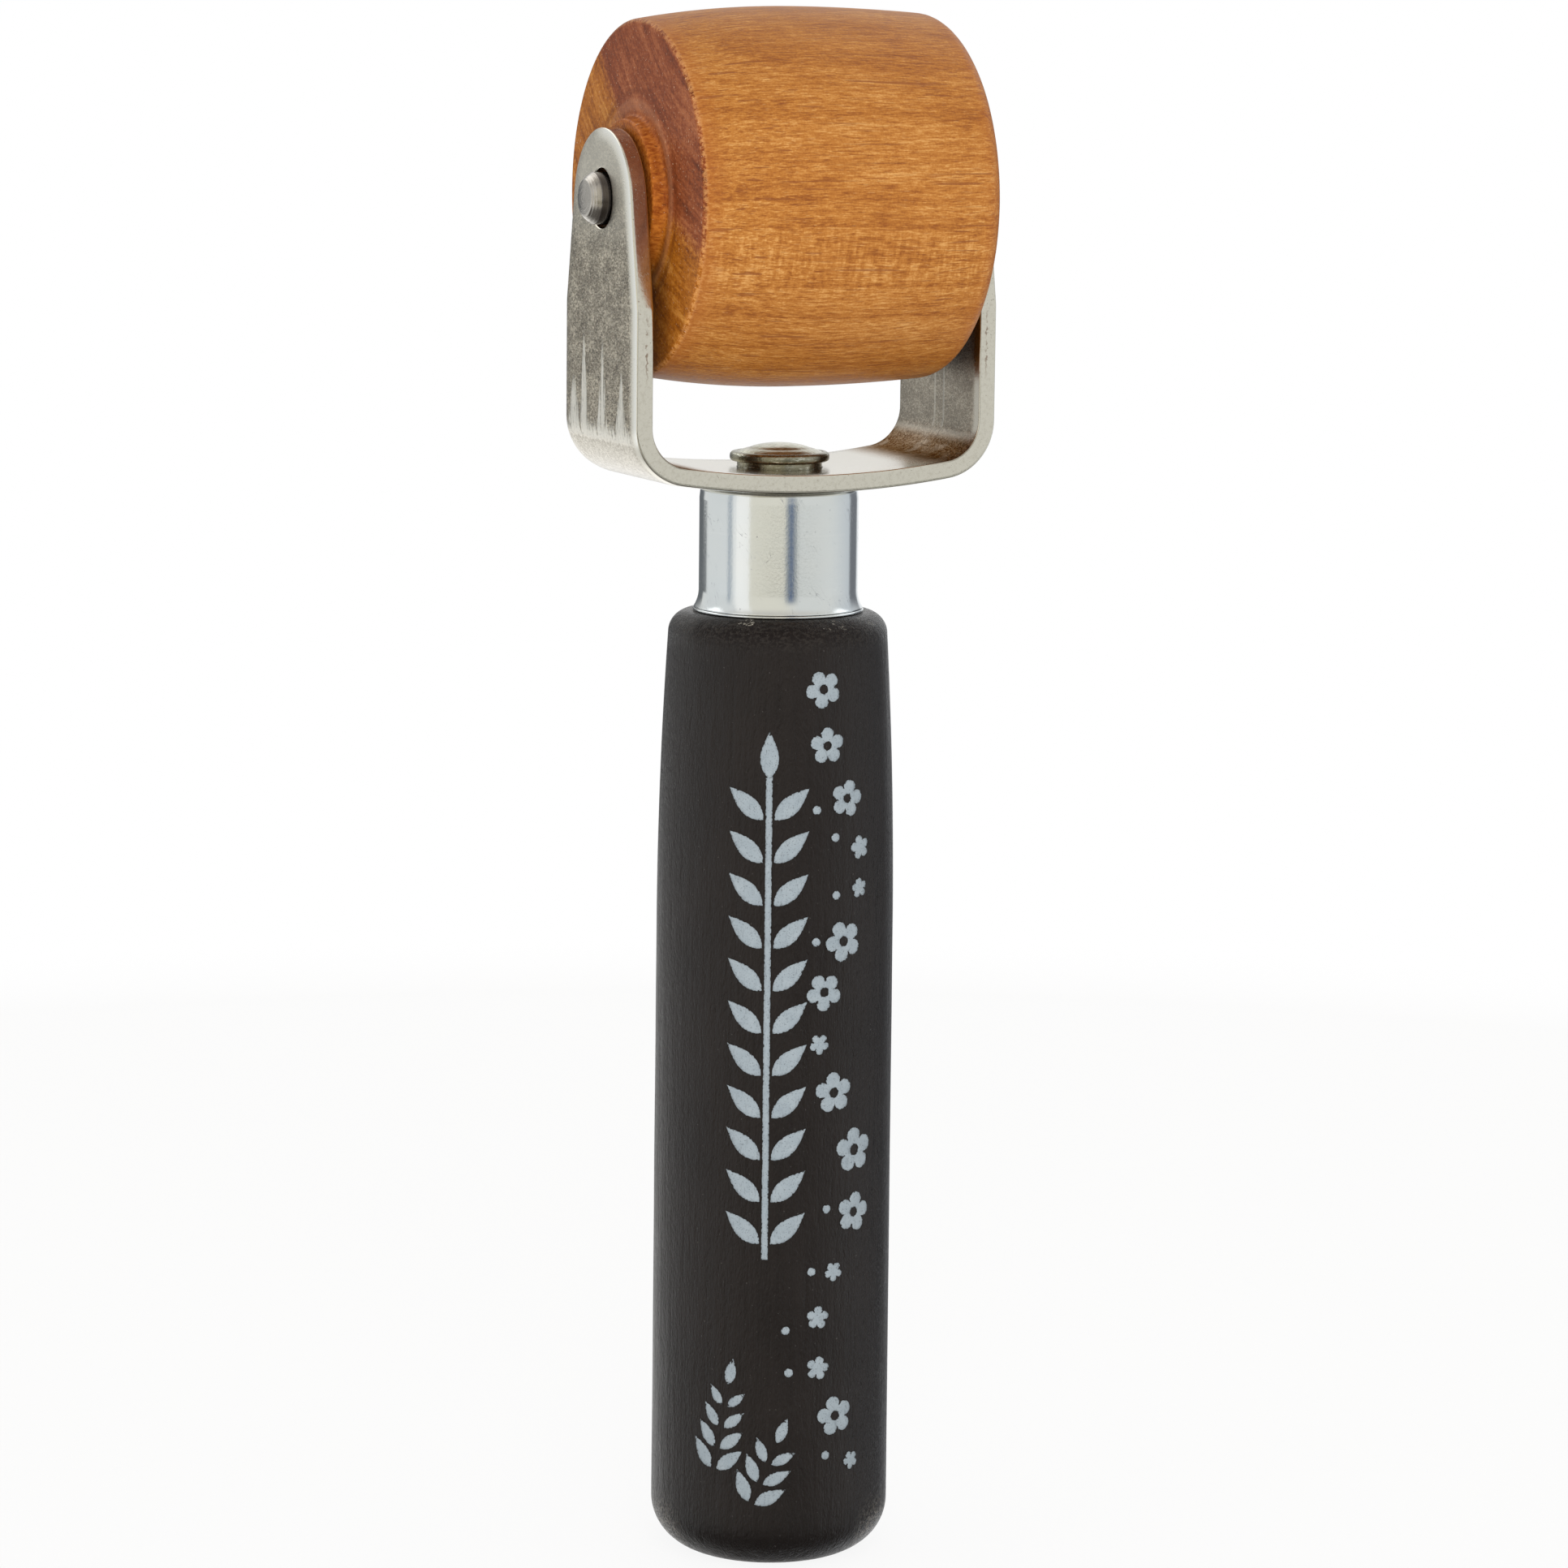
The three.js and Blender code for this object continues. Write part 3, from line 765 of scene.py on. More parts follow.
    rough = s.step(fine, 0.25, 0.75, 0.17, 0.27) + field * 0.14 - sheared * 0.1 + browned * 0.2
    height = (
        (worms + fine) * (field * 0.9 + 0.1) + scrapes * 0.4 + browned * worms * 2
        - pressed * inside_face * 1.6 + burrs * 2.2)
    brushed = s.noise(s.combine(x + z, y * 0.35, 0), 4.5, 2)
    height += brushed * (0.22 - sheared * 0.14)
    s.metal(colour, rough, height, 0.03, 0.7, Specular_Tint=grazing)


def zinc_material(s):
    """Bright zinc plate: faintly blue, with draw lines, light stains and short handling scratches."""
    p = s.place()
    x, y, z = s.split(p)
    cloud = s.noise(p, 0.35, 3)
    fine = s.noise(p, 8, 3, 0.65)
    orange_peel = s.noise(p, 4, 2, 0.5)
    colour = s.mix(cloud, (0.725, 0.76, 0.775), (0.785, 0.8, 0.785))
    around = s.maths("ARCTAN2", y, x) * FERRULE_RADIUS
    draw = s.noise(s.combine(around, 0, z * 0.05), 2, 3, 0.6)
    slanted = s.combine(z * 0.75 + around, 0, z * 0.16 - around * 0.12)
    hair = s.noise(slanted, 1.5, 2, 0.5, 0.4)
    scratch = s.near(hair, 0.5, 0, 0.01)
    where = s.step(s.noise(p, 0.42, 2), 0.56, 0.64)
    scratch *= where
    speck = s.step(s.noise(p, 3.4, 2), 0.72, 0.78)
    mark = s.larger(scratch, speck)
    # A faint bright line round the middle is a painted highlight.
    belt_highlight = s.near(z, FOOT_Z + 7.6, 0.02, 0.09)
    colour = s.layers(colour, (mark * 0.55, (0.2, 0.22, 0.25)), (belt_highlight * 0.1, (0.92, 0.92, 0.9)))
    rough = s.step(fine, 0.2, 0.8, 0.08, 0.17) + mark * 0.25
    height = draw * 0.7 + fine * 0.3 + orange_peel * 0.8 - mark * 0.5
    s.metal(colour, rough, height, 0.008, 0.6)


def rivet_material(s):
    """Dull yellow-brown plated steel, rubbed bright on the rim and under the head, with a darker brown ring
    in the dome.
    """
    p = s.place()
    x, y, z = s.split(p)
    from_axis = s.length(x, y, 0)
    around = s.maths("ARCTAN2", y, x) * 4.5
    patchy = s.noise(p, 1.3, 4, 0.65)
    fine = s.noise(p, 6.5, 3, 0.65)
    head_radius = rivet_high.x
    edge_wear = s.noise(s.combine(around * 0.6, z * 3.2, from_axis), 1.3, 4, 0.7)
    rim = s.step(from_axis, head_radius - 0.8, head_radius - 0.6)
    neck = s.fade(z, BASE_Z + STRIP + 0.15, BASE_Z + STRIP + 0.5)
    shadowed = s.fade(z, BASE_Z + STRIP + 0.3, BASE_Z + STRIP + 1.6)
    raised = s.larger(rim, neck)
    rubbed = raised * s.step(edge_wear, 0.56, 0.64)
    ring = s.near(from_axis, DOME_RING, 0.1, 0.55)
    colour = s.mix(s.step(patchy, 0.3, 0.7), (0.42, 0.4, 0.285), (0.76, 0.745, 0.62))
    colour = s.layers(
        colour, (ring * 0.45, (0.25, 0.185, 0.1)), (raised * 0.6, (0.135, 0.123, 0.085)),
        (shadowed * 0.35, (0.12, 0.105, 0.07)), (rubbed * 0.85, (0.86, 0.87, 0.79)))
    rough = s.step(patchy, 0.3, 0.7, 0.12, 0.24) + raised * 0.1
    height = fine * 0.5 + patchy
    s.metal(colour, rough, height, 0.04, 0.8)


def axle_material(s):
    """Drawn steel with turning marks on the chamfers and end faces, and a darker shank."""
    p = s.place() - tuple(AXLE_CENTRE)
    x, y, z = s.split(p)
    from_axis = s.length(0, y, z)
    turned = s.noise(s.combine(from_axis * 5.5, x * 5.5, 0), 1, 3, 0.6)
    patchy = s.noise(p, 1.8, 4, 0.7)
    colour = s.mix(turned, (0.2, 0.18, 0.16), (0.7, 0.665, 0.61))
    colour = s.mix(s.step(patchy, 0.5, 0.75, 0, 0.5), colour, (0.3, 0.28, 0.25))
    # The shank is darker than the turned chamfer, and the end face lies between the two.
    shank = s.fade(abs(x), axle_high.x - CHAMFER_LENGTH, axle_high.x - CHAMFER_LENGTH + 0.06)
    end_face = s.fade(from_axis, 1.5, 1.66)
    colour = s.layers(
        colour, (end_face * 0.4, (0.26, 0.24, 0.215)), (shank * 0.85, (0.13, 0.115, 0.12)))
    rough = s.step(patchy, 0.3, 0.7, 0.16, 0.3)
    height = patchy * 0.3 + turned
    s.metal(colour, rough, height, 0.03, 0.8)


def washer_material(s):
    """Plain zinc plate with fine tumbling marks."""
    p = s.place()
    patchy = s.noise(p, 1.4, 4, 0.65)
    colour = s.mix(patchy, (0.5, 0.5, 0.48), (0.7, 0.7, 0.69))
    rough = s.step(patchy, 0.3, 0.7, 0.28, 0.45)
    s.metal(colour, rough, patchy, 0.02, 0.6)


# ---- Pieces

def half_barrel(radius, rim, face_x, tip_x):
    """Half of the barrel's profile as (radius, x): crown, rim, end face, hub and bore."""
    rim_radius, edge = rim
    bore = axle_high.z - AXLE_Z + GAP
    crown_radius = radius_for(face_x - edge, radius - rim_radius)
    steps = 26
    reach = edge * 1.15
    crown = [(face_x - reach) * i / steps for i in range(steps + 1)]
    crown = [(radius - sag(crown_radius, x), x) for x in crown]
    corner = (radius - sag(crown_radius, face_x), face_x)
    outer = corner[0] - reach
    inner = HUB_RADIUS + HUB_FOOT
    face = []
    steps = 44
    for i in range(steps):
        r = outer + (inner - outer) * i / steps
        ripple = 0.016 * math.sin(r * 4.6) * math.exp(-(r - inner) / 4)
        face.append((r, face_x + ridge(r, *BEAD) + ridge(r, *GROOVE) + ripple))
    hub = rounded([
        (inner + 0.2, face_x), (HUB_RADIUS + 0.15, face_x), (HUB_RADIUS - 0.12, tip_x), (bore, tip_x),
        (bore, 0),
    ], [0.5, 0.3, 0.15], 6)
    path = crown + [corner] + face
    radii = [edge if point == corner else 0.0 for point in path[1:-1]]
    return rounded(path, radii, 8) + hub[1:-1]


def roller_mesh():
    half = roller_high.x
    radius = (roller_high.z - roller_low.z) / 2
    face_x = half - HUB_HEIGHT
    right = half_barrel(radius, RIGHT_RIM, face_x, half)
    left = [(r, -x) for r, x in half_barrel(radius, LEFT_RIM, face_x, half)][::-1]
    profile = densify(left + right[1:], step=1.0)
    profile += densify([profile[-1], profile[0]])[1:-1]
    return lathe(profile, 192, about_axle, closed=True, wobble=0.03)


def axle_mesh():
    radius = axle_high.z - AXLE_Z
    half = axle_high.x
    end = [(radius, 0.0), (radius, half - CHAMFER_LENGTH)]
    # The chamfer bulges and both it and the end face carry ridges from the lathe.
    steps = 24
    for i in range(steps + 1):
        share = i / steps
        r = radius - 0.02 - CHAMFER_DEPTH * share
        x = half - 0.95 + 0.80 * share + 0.07 * math.sin(math.pi * share)
        end.append((r, x + 0.010 * math.sin(share * 23)))
    for i in range(1, steps + 1):
        share = i / steps
        r = (radius - 0.02 - CHAMFER_DEPTH) * (1 - share)
        end.append((r, half - END_DOME * (1 - share) ** 2 + 0.006 * (math.cos(r * 13) - 1)))
    profile = densify([(r, -x) for r, x in end[1:]][::-1] + end[1:], step=1.5)
    return lathe(profile, 96, about_axle)


# The strip's middle line: half of the bowed base, one bend about BEND_X, BEND_Z, then a straight leg.
BEND_X = yoke_high.x - BEND_RADIUS
BEND_Z = BASE_Z + BASE_CURVE - math.sqrt((BASE_CURVE - BEND_RADIUS) ** 2 - BEND_X ** 2)
BEND_TILT = math.asin(BEND_X / (BASE_CURVE - BEND_RADIUS))
BASE_MIDDLE = BASE_CURVE - STRIP / 2
BEND_MIDDLE = BEND_RADIUS - STRIP / 2
BASE_LENGTH = BASE_MIDDLE * BEND_TILT
BEND_LENGTH = BEND_MIDDLE * (math.pi / 2 - BEND_TILT)
LEG_START = BASE_LENGTH + BEND_LENGTH


def bend_strip(s, y, n):
    """Takes a point of the flat strip (length, width, height towards the outer face) to its bent place."""
    side = math.copysign(1.0, s)
    run = abs(s)
    if run < BASE_LENGTH:
        radius = BASE_MIDDLE + n
        angle = run / BASE_MIDDLE
        return side * radius * math.sin(angle), y, BASE_Z + BASE_CURVE - radius * math.cos(angle)
    if run < LEG_START:
        radius = BEND_MIDDLE + n
        angle = BEND_TILT + (run - BASE_LENGTH) / BEND_MIDDLE
        return side * (BEND_X + radius * math.sin(angle)), y, BEND_Z - radius * math.cos(angle)
    return side * (yoke_high.x - STRIP / 2 + n), y, BEND_Z + run - LEG_START


def yoke_mesh():
    width = yoke_high.y
    hole_at = LEG_START + AXLE_Z - BEND_Z
    tip = hole_at - TIP_DROP
    shoulder = hole_at - TAPER_DROP
    run = tip - shoulder
    tangent = math.degrees(math.acos(TIP_RADIUS / math.hypot(run, width)) - math.atan2(run, width))
    stations = []
    for start, end, steps in ((0, BASE_LENGTH, 20), (BASE_LENGTH, LEG_START, 18), (LEG_START, shoulder, 24)):
        stations += [start + (end - start) * i / steps for i in range(steps)]
    tip_arc = arc(tip, 0, TIP_RADIUS, 90 - tangent, 0, 26)
    corner = rounded([(stations[-1], width), (shoulder, width), tip_arc[0]], [3.0], 6)
    # From the corner the outline runs straight to the tip's arc, in short steps.
    quarter = [(s, width) for s in stations] + corner[1:-1]
    taper = densify([corner[-2], tip_arc[0]], step=0.7)[1:-1]
    quarter += taper + tip_arc
    right = [(s, -y) for s, y in quarter] + [(s, y) for s, y in quarter[::-1]][1:]
    left = [(-s, -y) for s, y in right]
    outline = right[:-1] + left[:-1]
    loops = [outline]
    loops += [circle(side * hole_at, 0, AXLE_HOLE, 56) for side in (1, -1)]
    loops.append(circle(0, 0, RIVET_HOLE, 48))
    walks = [edge_walk(0.14, 0.14, roll=1.7, fall=0.12)]
    walks += [edge_walk(0.1, 0.14, roll=0.3, fall=0.03) for _ in range(2)]
    walks.append(edge_walk(0.04, 0.1, SEAT_RADIUS - RIVET_HOLE, SEAT_DEPTH + 0.12, roll=0.1, fall=0.01))
    columns = sorted({round(sign * s, 6) for s in stations for sign in (-1, 1)}
                     | {round(sign * (shoulder + 0.75 * i), 6) for i in range(24) for sign in (-1, 1)})
    rows = [width * (i / 12 - 1) for i in range(1, 24)]
    flat, faces = plate(loops, walks, columns, rows, 0.3)
    points = [bend_strip(*p) for p in flat]
    from_edge = distance_to(np.array([p[:2] for p in flat]), outline)
    depth = [p[2] / STRIP + 0.5 for p in flat]
    return points, [f[::-1] for f in faces], ("from_edge", from_edge), ("depth", depth)


def rivet_mesh():
    head = rivet_high.x
    top = rivet_high.z
    neck_low = BASE_Z + STRIP - SEAT_DEPTH + GAP
    neck_top = neck_low + 0.8
    rim_top = neck_top + RIM_THICKNESS
    dome_edge = head - RIM_WIDTH  # the dome rises from a shallow valley inside the rounded rim
    dome_radius = radius_for(dome_edge, top - rim_top + 0.07)
    cap = []
    for i in range(33):
        r = dome_edge * (1 - i / 32)
        cap.append((r, top - sag(dome_radius, r) + ridge(r, DOME_RING, -0.05, 0.3)))
    tail_top = washer_low.z - GAP
    lower = rounded([
        (0.0, rivet_low.z), (RIVET_TAIL - 0.8, rivet_low.z), (RIVET_TAIL, (rivet_low.z + tail_top) / 2),
        (RIVET_TAIL, tail_top), (RIVET_SHANK, tail_top), (RIVET_SHANK, neck_low), (RIVET_NECK, neck_low),
        (RIVET_NECK, neck_top), (head, neck_top), (head, rim_top), (dome_edge + 0.10, rim_top), cap[0],
    ], [0.3, 0.4, 0.15, 0.05, 0.1, 0.1, 0.12, 0.30, 0.38, 0.06], 4)
    profile = densify(lower[:-1] + cap, step=1.0)
    return lathe(profile, 96, about_z)


def washer_mesh():
    outer = washer_high.x
    corners = [
        (outer, washer_high.z), (RIVET_HOLE, washer_high.z), (RIVET_HOLE, washer_low.z),
        (outer, washer_low.z), (outer, washer_high.z), (RIVET_HOLE, washer_high.z),
    ]
    path = rounded(corners, [0.12] * 4, 3)[1:-1]
    return lathe(densify(path, step=1.0), 64, about_z, closed=True)


def ferrule_mesh():
    flare = ferrule_high.x
    rise = FLARE_HEIGHT - FLARE_LIP
    flare_arc = radius_for(rise, flare - 0.06 - FERRULE_RADIUS)
    sweep = math.degrees(math.asin(rise / flare_arc))
    flare_z = FOOT_Z + FLARE_HEIGHT
    outer = arc(FERRULE_RADIUS + flare_arc, flare_z, flare_arc, 180 + sweep, 180, 10)
    inner_low = arc(FERRULE_RADIUS + flare_arc, flare_z, flare_arc + FERRULE_WALL, 180, 180 + sweep * 0.9, 10)
    inner_radius = FERRULE_RADIUS - FERRULE_WALL
    cap_under = ferrule_high.z - FERRULE_WALL
    foot = rounded([
        inner_low[-1], (flare - 0.5, FOOT_Z), (flare, FOOT_Z), (flare, FOOT_Z + FLARE_LIP), outer[0],
    ], [0.1, 0.1, 0.12], 3)
    top = ferrule_high.z
    upper = rounded([
        outer[-1], (FERRULE_RADIUS, top - 1.05), (FERRULE_RADIUS - 0.11, top), (RIVET_HOLE, top),
        (RIVET_HOLE, cap_under), (inner_radius - 0.1, cap_under), inner_low[0],
    ], [1.6, 0.42, 0.1, 0.1, 0.3], 7)
    profile = densify(foot[1:] + outer[1:-1] + upper + inner_low[1:], step=0.9)
    return lathe(profile, 144, about_z, closed=True, wobble=0.012)


# The handle's outline: butt, long body, and a shoulder that curves in to a rounded top edge.
SHOULDER_Z = FOOT_Z - GAP
BUTT_RADIUS = handle_high.x
BUTT_ROUNDING = 4.7
WAIST_RADIUS = 11.18
WAIST_Z = 60.0
NECK_RADIUS = 10.3
TOP_ROUNDING = 2.1
TENON_BEVEL = 0.6


def handle_radius(z):
    """Radius of the handle's body between its two rounded ends."""
    if z <= WAIST_Z:
        share = max(0.0, z - BUTT_ROUNDING) / (WAIST_Z - BUTT_ROUNDING)
        return BUTT_RADIUS + (WAIST_RADIUS - BUTT_RADIUS) * share
    run = SHOULDER_Z - TOP_ROUNDING - WAIST_Z
    curve = radius_for(run, WAIST_RADIUS - NECK_RADIUS)
    return WAIST_RADIUS - sag(curve, min(z - WAIST_Z, run))


def handle_mesh():
    butt = arc(BUTT_RADIUS - BUTT_ROUNDING, BUTT_ROUNDING, BUTT_ROUNDING, -90, 0, 22)
    body_top = SHOULDER_Z - TOP_ROUNDING
    steps = 64
    body = [BUTT_ROUNDING + (body_top - BUTT_ROUNDING) * i / steps for i in range(1, steps)]
    body = [(handle_radius(z), z) for z in body]
    top = arc(NECK_RADIUS - TOP_ROUNDING, body_top, TOP_ROUNDING, 0, 90, 14)
    tenon = FERRULE_RADIUS - FERRULE_WALL - GAP
    profile = [(0.0, 0.0)] + butt + body + top
    end = handle_high.z
    profile += [(tenon, SHOULDER_Z), (tenon, end - TENON_BEVEL), (tenon - TENON_BEVEL, end), (0.0, end)]
    return lathe(densify(profile, step=1.2), 160, about_z, wobble=0.04)


# ---- Printed ornament

INK_HEIGHT = 0.025
INK_SINK = 0.06
INK_GRID = 0.3


def leaf(u, v, length, width, heading):
    """Outline of a pointed leaf that starts at (u, v) and grows towards heading, in degrees."""
    turn = Matrix.Rotation(math.radians(heading), 2)
    shares = [i / 12 for i in range(13)]
    rising = [(length * share, width / 2 * math.sin(math.pi * share ** 0.8)) for share in shares]
    points = [(a, -b) for a, b in rising] + [(a, b) for a, b in rising[::-1]][1:-1]
    return [tuple(Vector((u, v)) + turn @ Vector(p)) for p in points]


def blossom(u, v, radius, spin):
    """Outline of a flower with five round petals."""
    points = []
    for angle in np.linspace(0, 2 * math.pi, 70, endpoint=False):
        lobe = abs(math.cos(2.5 * angle))
        r = radius * (0.56 + 0.44 * lobe ** 0.55)
        points.append((u + r * math.cos(angle + spin), v + r * math.sin(angle + spin)))
    return points


def garland():
    """A straight stem with pairs of leaves, down the middle of the printed side."""
    stem, half, top, bottom, pairs = -0.6, 0.31, 76.0, 32.0, 11
    left, right, foot = stem - half, stem + half, bottom - 1.5
    outline = [(right, foot), (right, top), (left, top), (left, foot), (right, foot)]
    loops = [(densify(outline, 0.1, 0.8)[:-1], [])]
    for i in range(pairs):
        v = bottom + (top - bottom) * i / pairs
        loops += [(leaf(stem + side * 0.50, v, 4.4, 1.75, 90 - side * 48), []) for side in (-1, 1)]
    loops.append((leaf(stem, top - 0.2, 4.4, 1.75, 90), []))
    return loops


def scatter():
    """Blossoms and dots beside the garland, in a loose column that sways from side to side."""
    loops = []
    rng = random.Random(7)
    v = 84.0
    while v > 8.0:
        sway = 6.6 + 2.3 * math.sin(v * 0.21)
        big = rng.random() < 0.42
        radius = rng.uniform(1.7, 2.15) if big else rng.uniform(0.85, 1.15)
        spin = rng.uniform(0, math.pi)
        centre = [circle(sway, v, radius * 0.24, 20)] if big else []
        loops.append((blossom(sway, v, radius, spin), centre))
        beside = max(sway - rng.uniform(2.6, 3.4), 3.9) if v > 26 else sway - rng.uniform(2.6, 3.4)
        if sway - beside > radius + 0.9:
            loops.append((circle(beside, v + rng.uniform(-1.2, 1.2), 0.42, 20), []))
        v -= radius + rng.uniform(2.6, 4.2)
    return loops


def sprig(u, v, heading, pairs):
    """A short branch of paired leaves that get smaller towards its tip."""
    loops = []
    along = Vector((math.cos(math.radians(heading)), math.sin(math.radians(heading))))
    for i in range(pairs):
        at = Vector((u, v)) + along * (2.1 * i)
        size = 1 - 0.11 * i
        for side in (-1, 1):
            base = at + Vector((-along.y, along.x)) * side * 0.3
            loops.append((leaf(base.x, base.y, 3.3 * size, 1.35 * size, heading + side * 42), []))
    end = Vector((u, v)) + along * (2.1 * pairs)
    loops.append((leaf(end.x, end.y, 2.6, 1.1, heading), []))
    return loops


def ornament_mesh():
    """All the printed shapes as one piece of thin ink that follows the handle's surface."""
    shapes = garland() + scatter() + sprig(-5.4, 10.0, 80, 4) + sprig(-1.6, 7.0, 68, 3)
    facing = math.radians(CAMERA_AZIMUTH - 90)
    points = []
    faces = []
    depths = []
    for outline, holes in shapes:
        spread = np.array(outline)
        low, high = spread.min(axis=0), spread.max(axis=0)
        columns, rows = (np.arange(low[i], high[i], INK_GRID) for i in (0, 1))
        loops = [outline] + holes
        walk = [(0.0, -INK_SINK), (0.0, INK_HEIGHT)]
        flat, local = plate(loops, [walk] * len(loops), columns, rows, 0.14)
        start = len(points)
        uv = np.array([p[:2] for p in flat])
        depth = distance_to(uv, outline)
        for hole in holes:
            depth = np.minimum(depth, distance_to(uv, hole))
        depths += [min(1.0, d / INK_GRID) for d in depth]
        for u, v, n in flat:
            radius = handle_radius(v)
            angle = facing + u / radius
            points.append(((radius + n) * math.cos(angle), (radius + n) * math.sin(angle), v))
        faces += [tuple(start + i for i in f) for f in local]
    return points, faces, ("edge_depth", depths)


# ---- Studio

CAMERA_ELEVATION = 8.75
CAMERA_ROLL = 0.63
CAMERA_FROM_AXLE = (-193.49, -439.31, 18.93)
LENS = 118.43
SENSOR = 36.0


def add_camera():
    data = bpy.data.cameras.new("camera")
    data.lens = LENS
    data.sensor_width = SENSOR
    data.clip_start = 0.01
    camera = bpy.data.objects.new("camera", data)
    bpy.context.scene.collection.objects.link(camera)
    camera.matrix_world = Matrix.Translation((AXLE_CENTRE + Vector(CAMERA_FROM_AXLE)) * MM)
    for angle, axis in ((CAMERA_AZIMUTH, "Z"), (90 - CAMERA_ELEVATION, "X"), (CAMERA_ROLL, "Z")):
        camera.matrix_world = camera.matrix_world @ Matrix.Rotation(math.radians(angle), 4, axis)
    bpy.context.scene.camera = camera


def band(start, full, end, gone, level=1):
    """Stops of a mask that is 0, reaches a level between full and end, and is 0 again."""
    return [(start, 0), (full, level), (end, level), (gone, 0)]


def add_world():
    """A pale studio all round. Reflections see bright panels, with narrow dark gaps low down between them."""
    world = bpy.data.worlds.new("studio")
    bpy.context.scene.world = world
    world.use_nodes = True
    s = Shader(world.node_tree)
    direction = s.value("Generated", "ShaderNodeTexCoord")
    azimuth = math.radians(CAMERA_AZIMUTH)
    to_right = s.vector("DOT_PRODUCT", direction, (math.cos(azimuth), math.sin(azimuth), 0))
    to_camera = s.vector("DOT_PRODUCT", direction, (math.sin(azimuth), -math.cos(azimuth), 0))
    turn = s.maths("ARCTAN2", to_right, to_camera) * (0.5 / math.pi) + 0.5
    height = s.split(direction)[2]

    def around(*stops):
        """Colours against the angle round from the camera in degrees, positive to the camera's right."""
        return s.ramp(turn, *(((angle + 180) / 360, colour) for angle, colour in stops))

    cool, white = (0.78, 0.80, 0.80), (1.06, 1.05, 1.02)
    cream, grey = (0.84, 0.81, 0.71), (0.78, 0.79, 0.77)
    walls = around(
        (-180, 0.92), (-150, (0.80, 0.80, 0.78)), (-120, cool), (-70, cool), (-62, white), (-44, white),
        (-41, cream), (9, cream), (30, grey), (80, grey), (124, (0.62, 0.66, 0.70)),
        (160, (0.90, 0.92, 0.94)), (180, 1))
    gaps = around(*band(-79, -77.5, -72, -70.5, 0.6), *band(9, 12, 25, 29), *band(124, 128, 152, 158))
    shade = around(
        (-100, (0.14, 0.15, 0.16)), (-80, (0.22, 0.28, 0.36)), (11, (0.42, 0.44, 0.45)),
        (15.5, (0.32, 0.36, 0.40)), (17, (0.15, 0.20, 0.31)), (20, (0.15, 0.20, 0.31)),
        (22, (0.35, 0.38, 0.41)), (26, (0.42, 0.44, 0.45)), (120, (0.19, 0.20, 0.22)))
    fading_up = s.fade(height, -0.05, 0.45)
    low_down = fading_up * s.step(height, -0.46, -0.20)
    studio = s.mix(gaps * low_down, walls, shade)
    # The left gap is wider low down, where the ferrule sees it and the yoke's leg does not.
    wider = around(*band(-146, -142, -130, -126)) * s.fade(height, -0.100, -0.086)
    left_gap = s.larger(around(*band(-176, -170, -142, -137)), wider)
    window = fading_up * s.step(height, -0.16, -0.13)
    overhead = s.step(height, 0.45, 0.85)
    beam = around(*band(-62, -52, -10, 0)) * s.near(height, 0.86, 0.03, 0.08)
    studio = s.layers(
        studio, (left_gap * window, (0.14, 0.15, 0.16)), (overhead, (0.66, 0.63, 0.58)),
        (beam, (0.10, 0.11, 0.13)))

    # Only reflections see what follows: the dark underneath, then panels high up at the sides, low down
    # behind the object, and level with the handle, where a tone of 0.5 leaves the wall as it is.
    glossy = s.ray("Glossy")
    in_front = around(
        (-180, 1), (-172, 1), (-164, 0), (-150, 0), (-115, 1), (115, 1), (150, 0), (164, 0), (172, 1),
        (180, 1))
    below = s.fade(height, -0.62, -0.42) * in_front
    studio = s.mix(below * glossy, studio, (0.16, 0.15, 0.14))
    sides = around(*band(-168, -150, -105, -90), *band(90, 105, 150, 168))
    panels = sides * s.step(height, 0.34, 0.46) * s.fade(height, 0.78, 0.90)
    behind = around((-180, 1), (-148, 1), (-136, 0), (136, 0), (148, 1), (180, 1))
    panels += behind * s.fade(height, -0.30, -0.22) * s.step(height, -0.72, -0.60) * 0.45
    tone = around(
        (-176, 0.50), (-160, 0.575), (-112, 0.60), (-86, 0.70), (-60, 0.64), (-40, 0.38), (-22, 0.24),
        (-8, 0.06), (10, 0.04), (22, 0.18), (50, 0.25), (75, 0.52), (95, 0.76), (112, 0.60), (135, 0.29),
        (170, 0.29), (176, 0.50))
    level = s.fade(height, -0.175, -0.14) * s.step(height, -0.42, -0.32)
    panels = (panels + level * (tone - 0.5) * 2.0) * glossy
    studio = s.vector("MAXIMUM", studio + s.combine(panels, panels, panels), (0, 0, 0))
    colour = s.mix(s.ray("Camera"), studio, (1, 1, 1))
    s.output("ShaderNodeOutputWorld", s.value(0, "ShaderNodeBackground", {0: colour, 1: 1.0}))


FLOOR_RADIUS = 330.0
FLOOR_DROP = 0.05  # keeps the floor just under the butt


def floor_material(s):
    """Matt white paper that is mostly left out of the camera's view and fades away towards its rim."""
    p = s.place()
    tint = s.mix(s.noise(p, 0.5, 3.0), (0.93, 0.93, 0.93), (0.95, 0.95, 0.95))
    matt = s.value(0, "ShaderNodeBsdfDiffuse", {0: tint})
    fade = s.step(s.vector("LENGTH", p), FLOOR_RADIUS * 0.25, FLOOR_RADIUS * 0.98)
    share = s.larger(fade, s.ray("Camera") * 0.90)
    clear = s.value(0, "ShaderNodeBsdfTransparent")
    s.output("ShaderNodeOutputMaterial", s.value(0, "ShaderNodeMixShader", {0: share, 1: matt, 2: clear}))


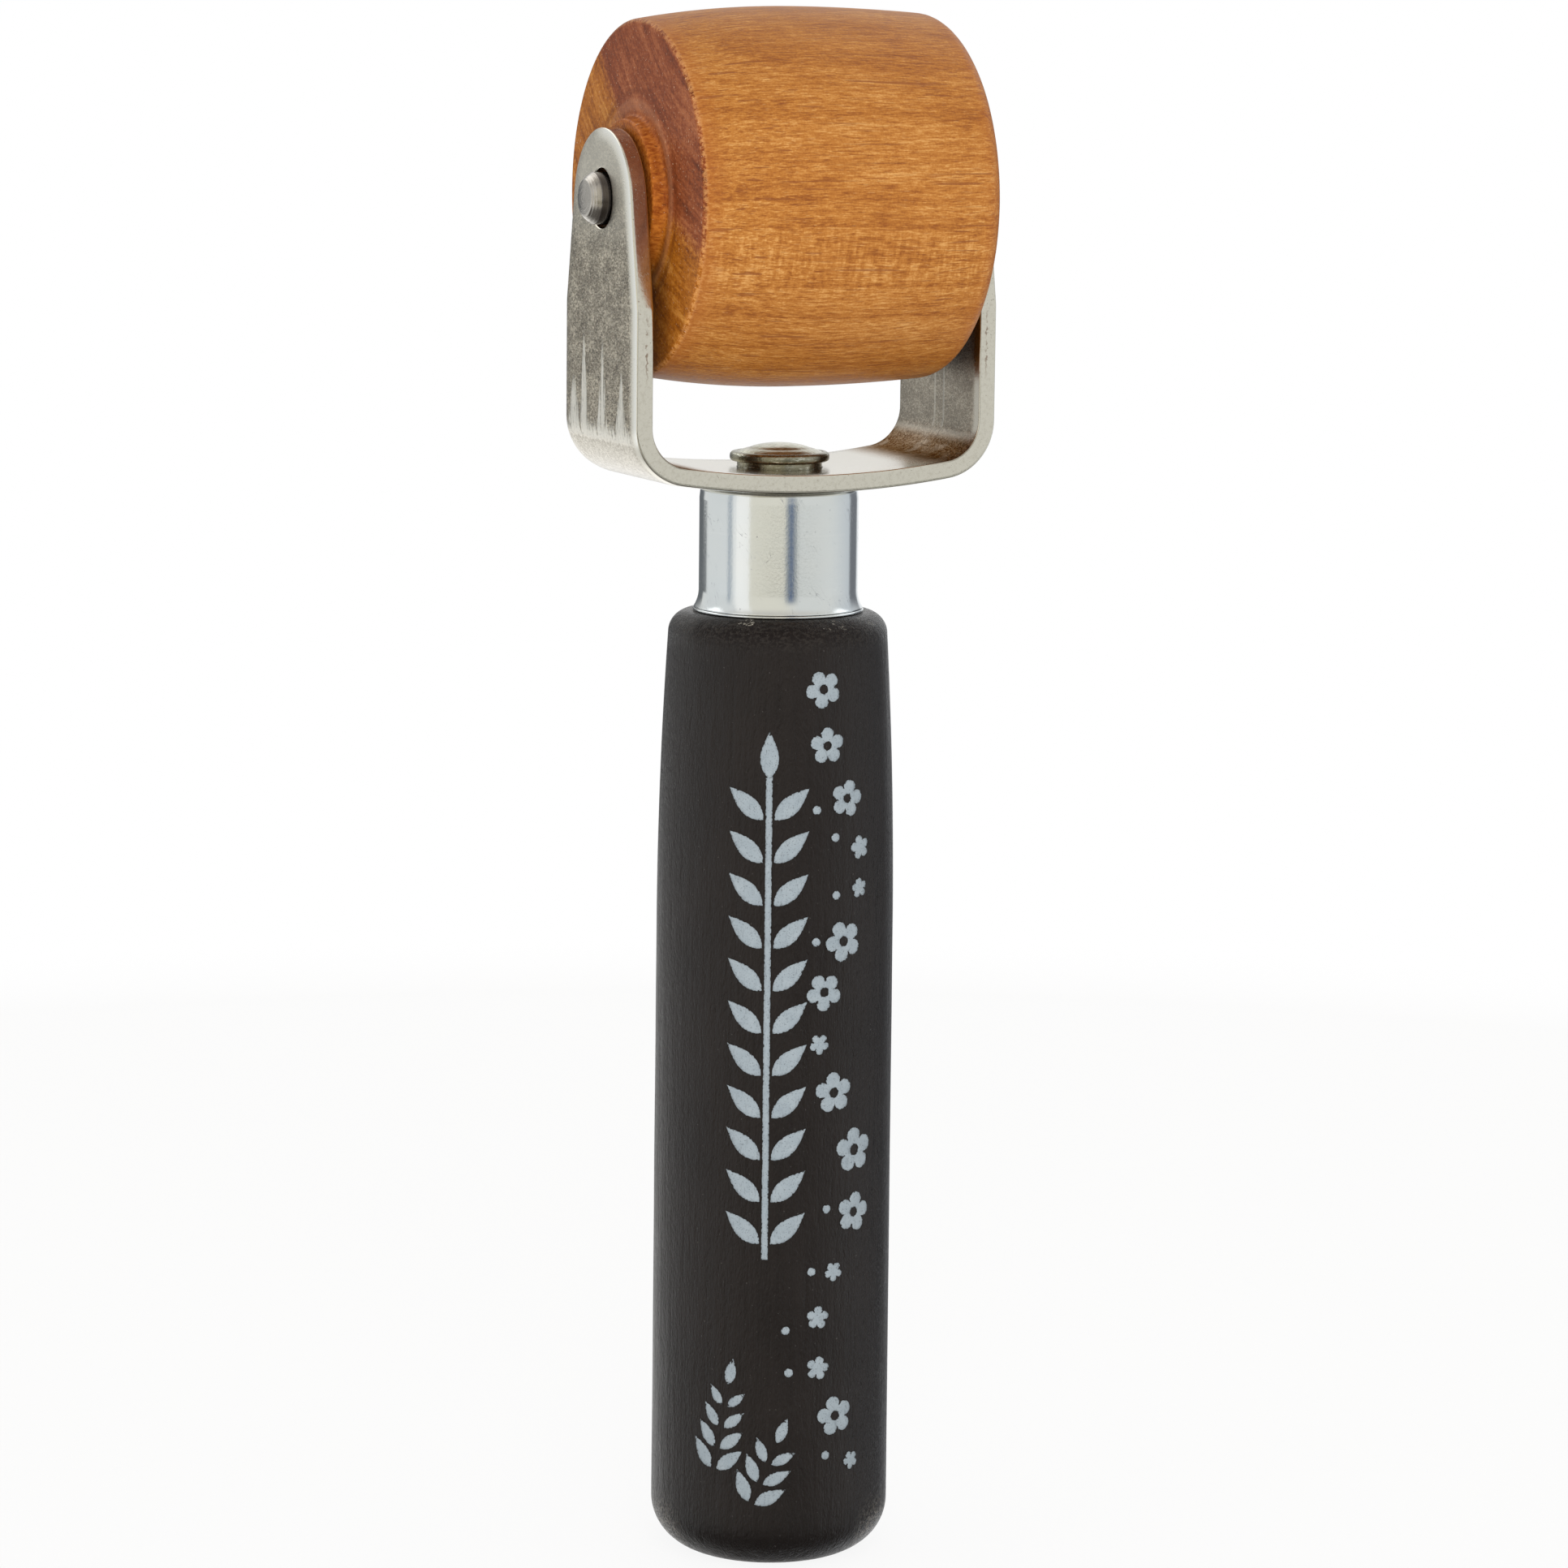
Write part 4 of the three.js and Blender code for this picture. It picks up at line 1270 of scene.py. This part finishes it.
def add_floor():
    """A round pale floor, made of rings of faces about its centre."""
    rings, spokes = 24, 72
    points = [(0.0, 0.0, 0.0)]
    for i in range(1, rings + 1):
        points += [about_z(FLOOR_RADIUS * i / rings, 2 * math.pi * j / spokes, 0.0) for j in range(spokes)]
    faces = [(0, 1 + j, 1 + (j + 1) % spokes) for j in range(spokes)]
    for i in range(rings - 1):
        a, b = 1 + i * spokes, 1 + (i + 1) * spokes
        faces += [(a + j, b + j, b + (j + 1) % spokes, a + (j + 1) % spokes) for j in range(spokes)]
    floor = make_object("floor", points, faces, new_material("floor", floor_material))
    floor.location.z = -FLOOR_DROP * MM
    floor.visible_glossy = False


def add_softbox(name, place, aim, size, power):
    """A round area light that reflections do not show."""
    data = bpy.data.lights.new(name, "AREA")
    data.shape = "DISK"
    data.size = size * MM
    data.energy = power
    lamp = bpy.data.objects.new(name, data)
    lamp.location = Vector(place) * MM
    lamp.rotation_euler = (Vector(place) - Vector(aim)).to_track_quat("Z", "Y").to_euler()
    lamp.visible_glossy = False
    bpy.context.scene.collection.objects.link(lamp)


# Each row: the piece, its mesh, its material, the CAD node it stands for, its slot and its body.
for name, mesh, look, node, slot, body in (
    ("wood_roller", roller_mesh, wood_material, "roller", "roller_wood", "roller_assembly"),
    ("steel_axle", axle_mesh, axle_material, "axle", "axle_steel", "roller_assembly"),
    ("steel_yoke", yoke_mesh, yoke_material, "yoke", "yoke_steel", "handle_assembly"),
    ("domed_rivet", rivet_mesh, rivet_material, "rivet", "rivet_steel", "handle_assembly"),
    ("backing_washer", washer_mesh, washer_material, "rivet_washer", "washer_steel", "handle_assembly"),
    ("zinc_ferrule", ferrule_mesh, zinc_material, "ferrule", "ferrule_zinc", "handle_assembly"),
    ("painted_handle", handle_mesh, paint_material, "handle", "handle_paint", "handle_assembly"),
    ("printed_ornament", ornament_mesh, ink_material, None, "handle_paint", "handle_assembly"),
):
    points, faces, *attributes = mesh()
    piece = make_piece(name, points, faces, new_material(slot if node else "print_ink", look), body)
    for attribute, values in attributes:
        piece.data.attributes.new(attribute, "FLOAT", "POINT").data.foreach_set("value", values)
    if node:
        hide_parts(node)

add_camera()
add_world()
add_floor()
add_softbox("key", (-150, -520, 420), aim=(0, 0, 100), size=420, power=1.0)
add_softbox("low_fill", (-190, -430, 12), aim=(0, 0, 110), size=160, power=0.65)
bpy.context.scene.view_settings.view_transform = "Standard"
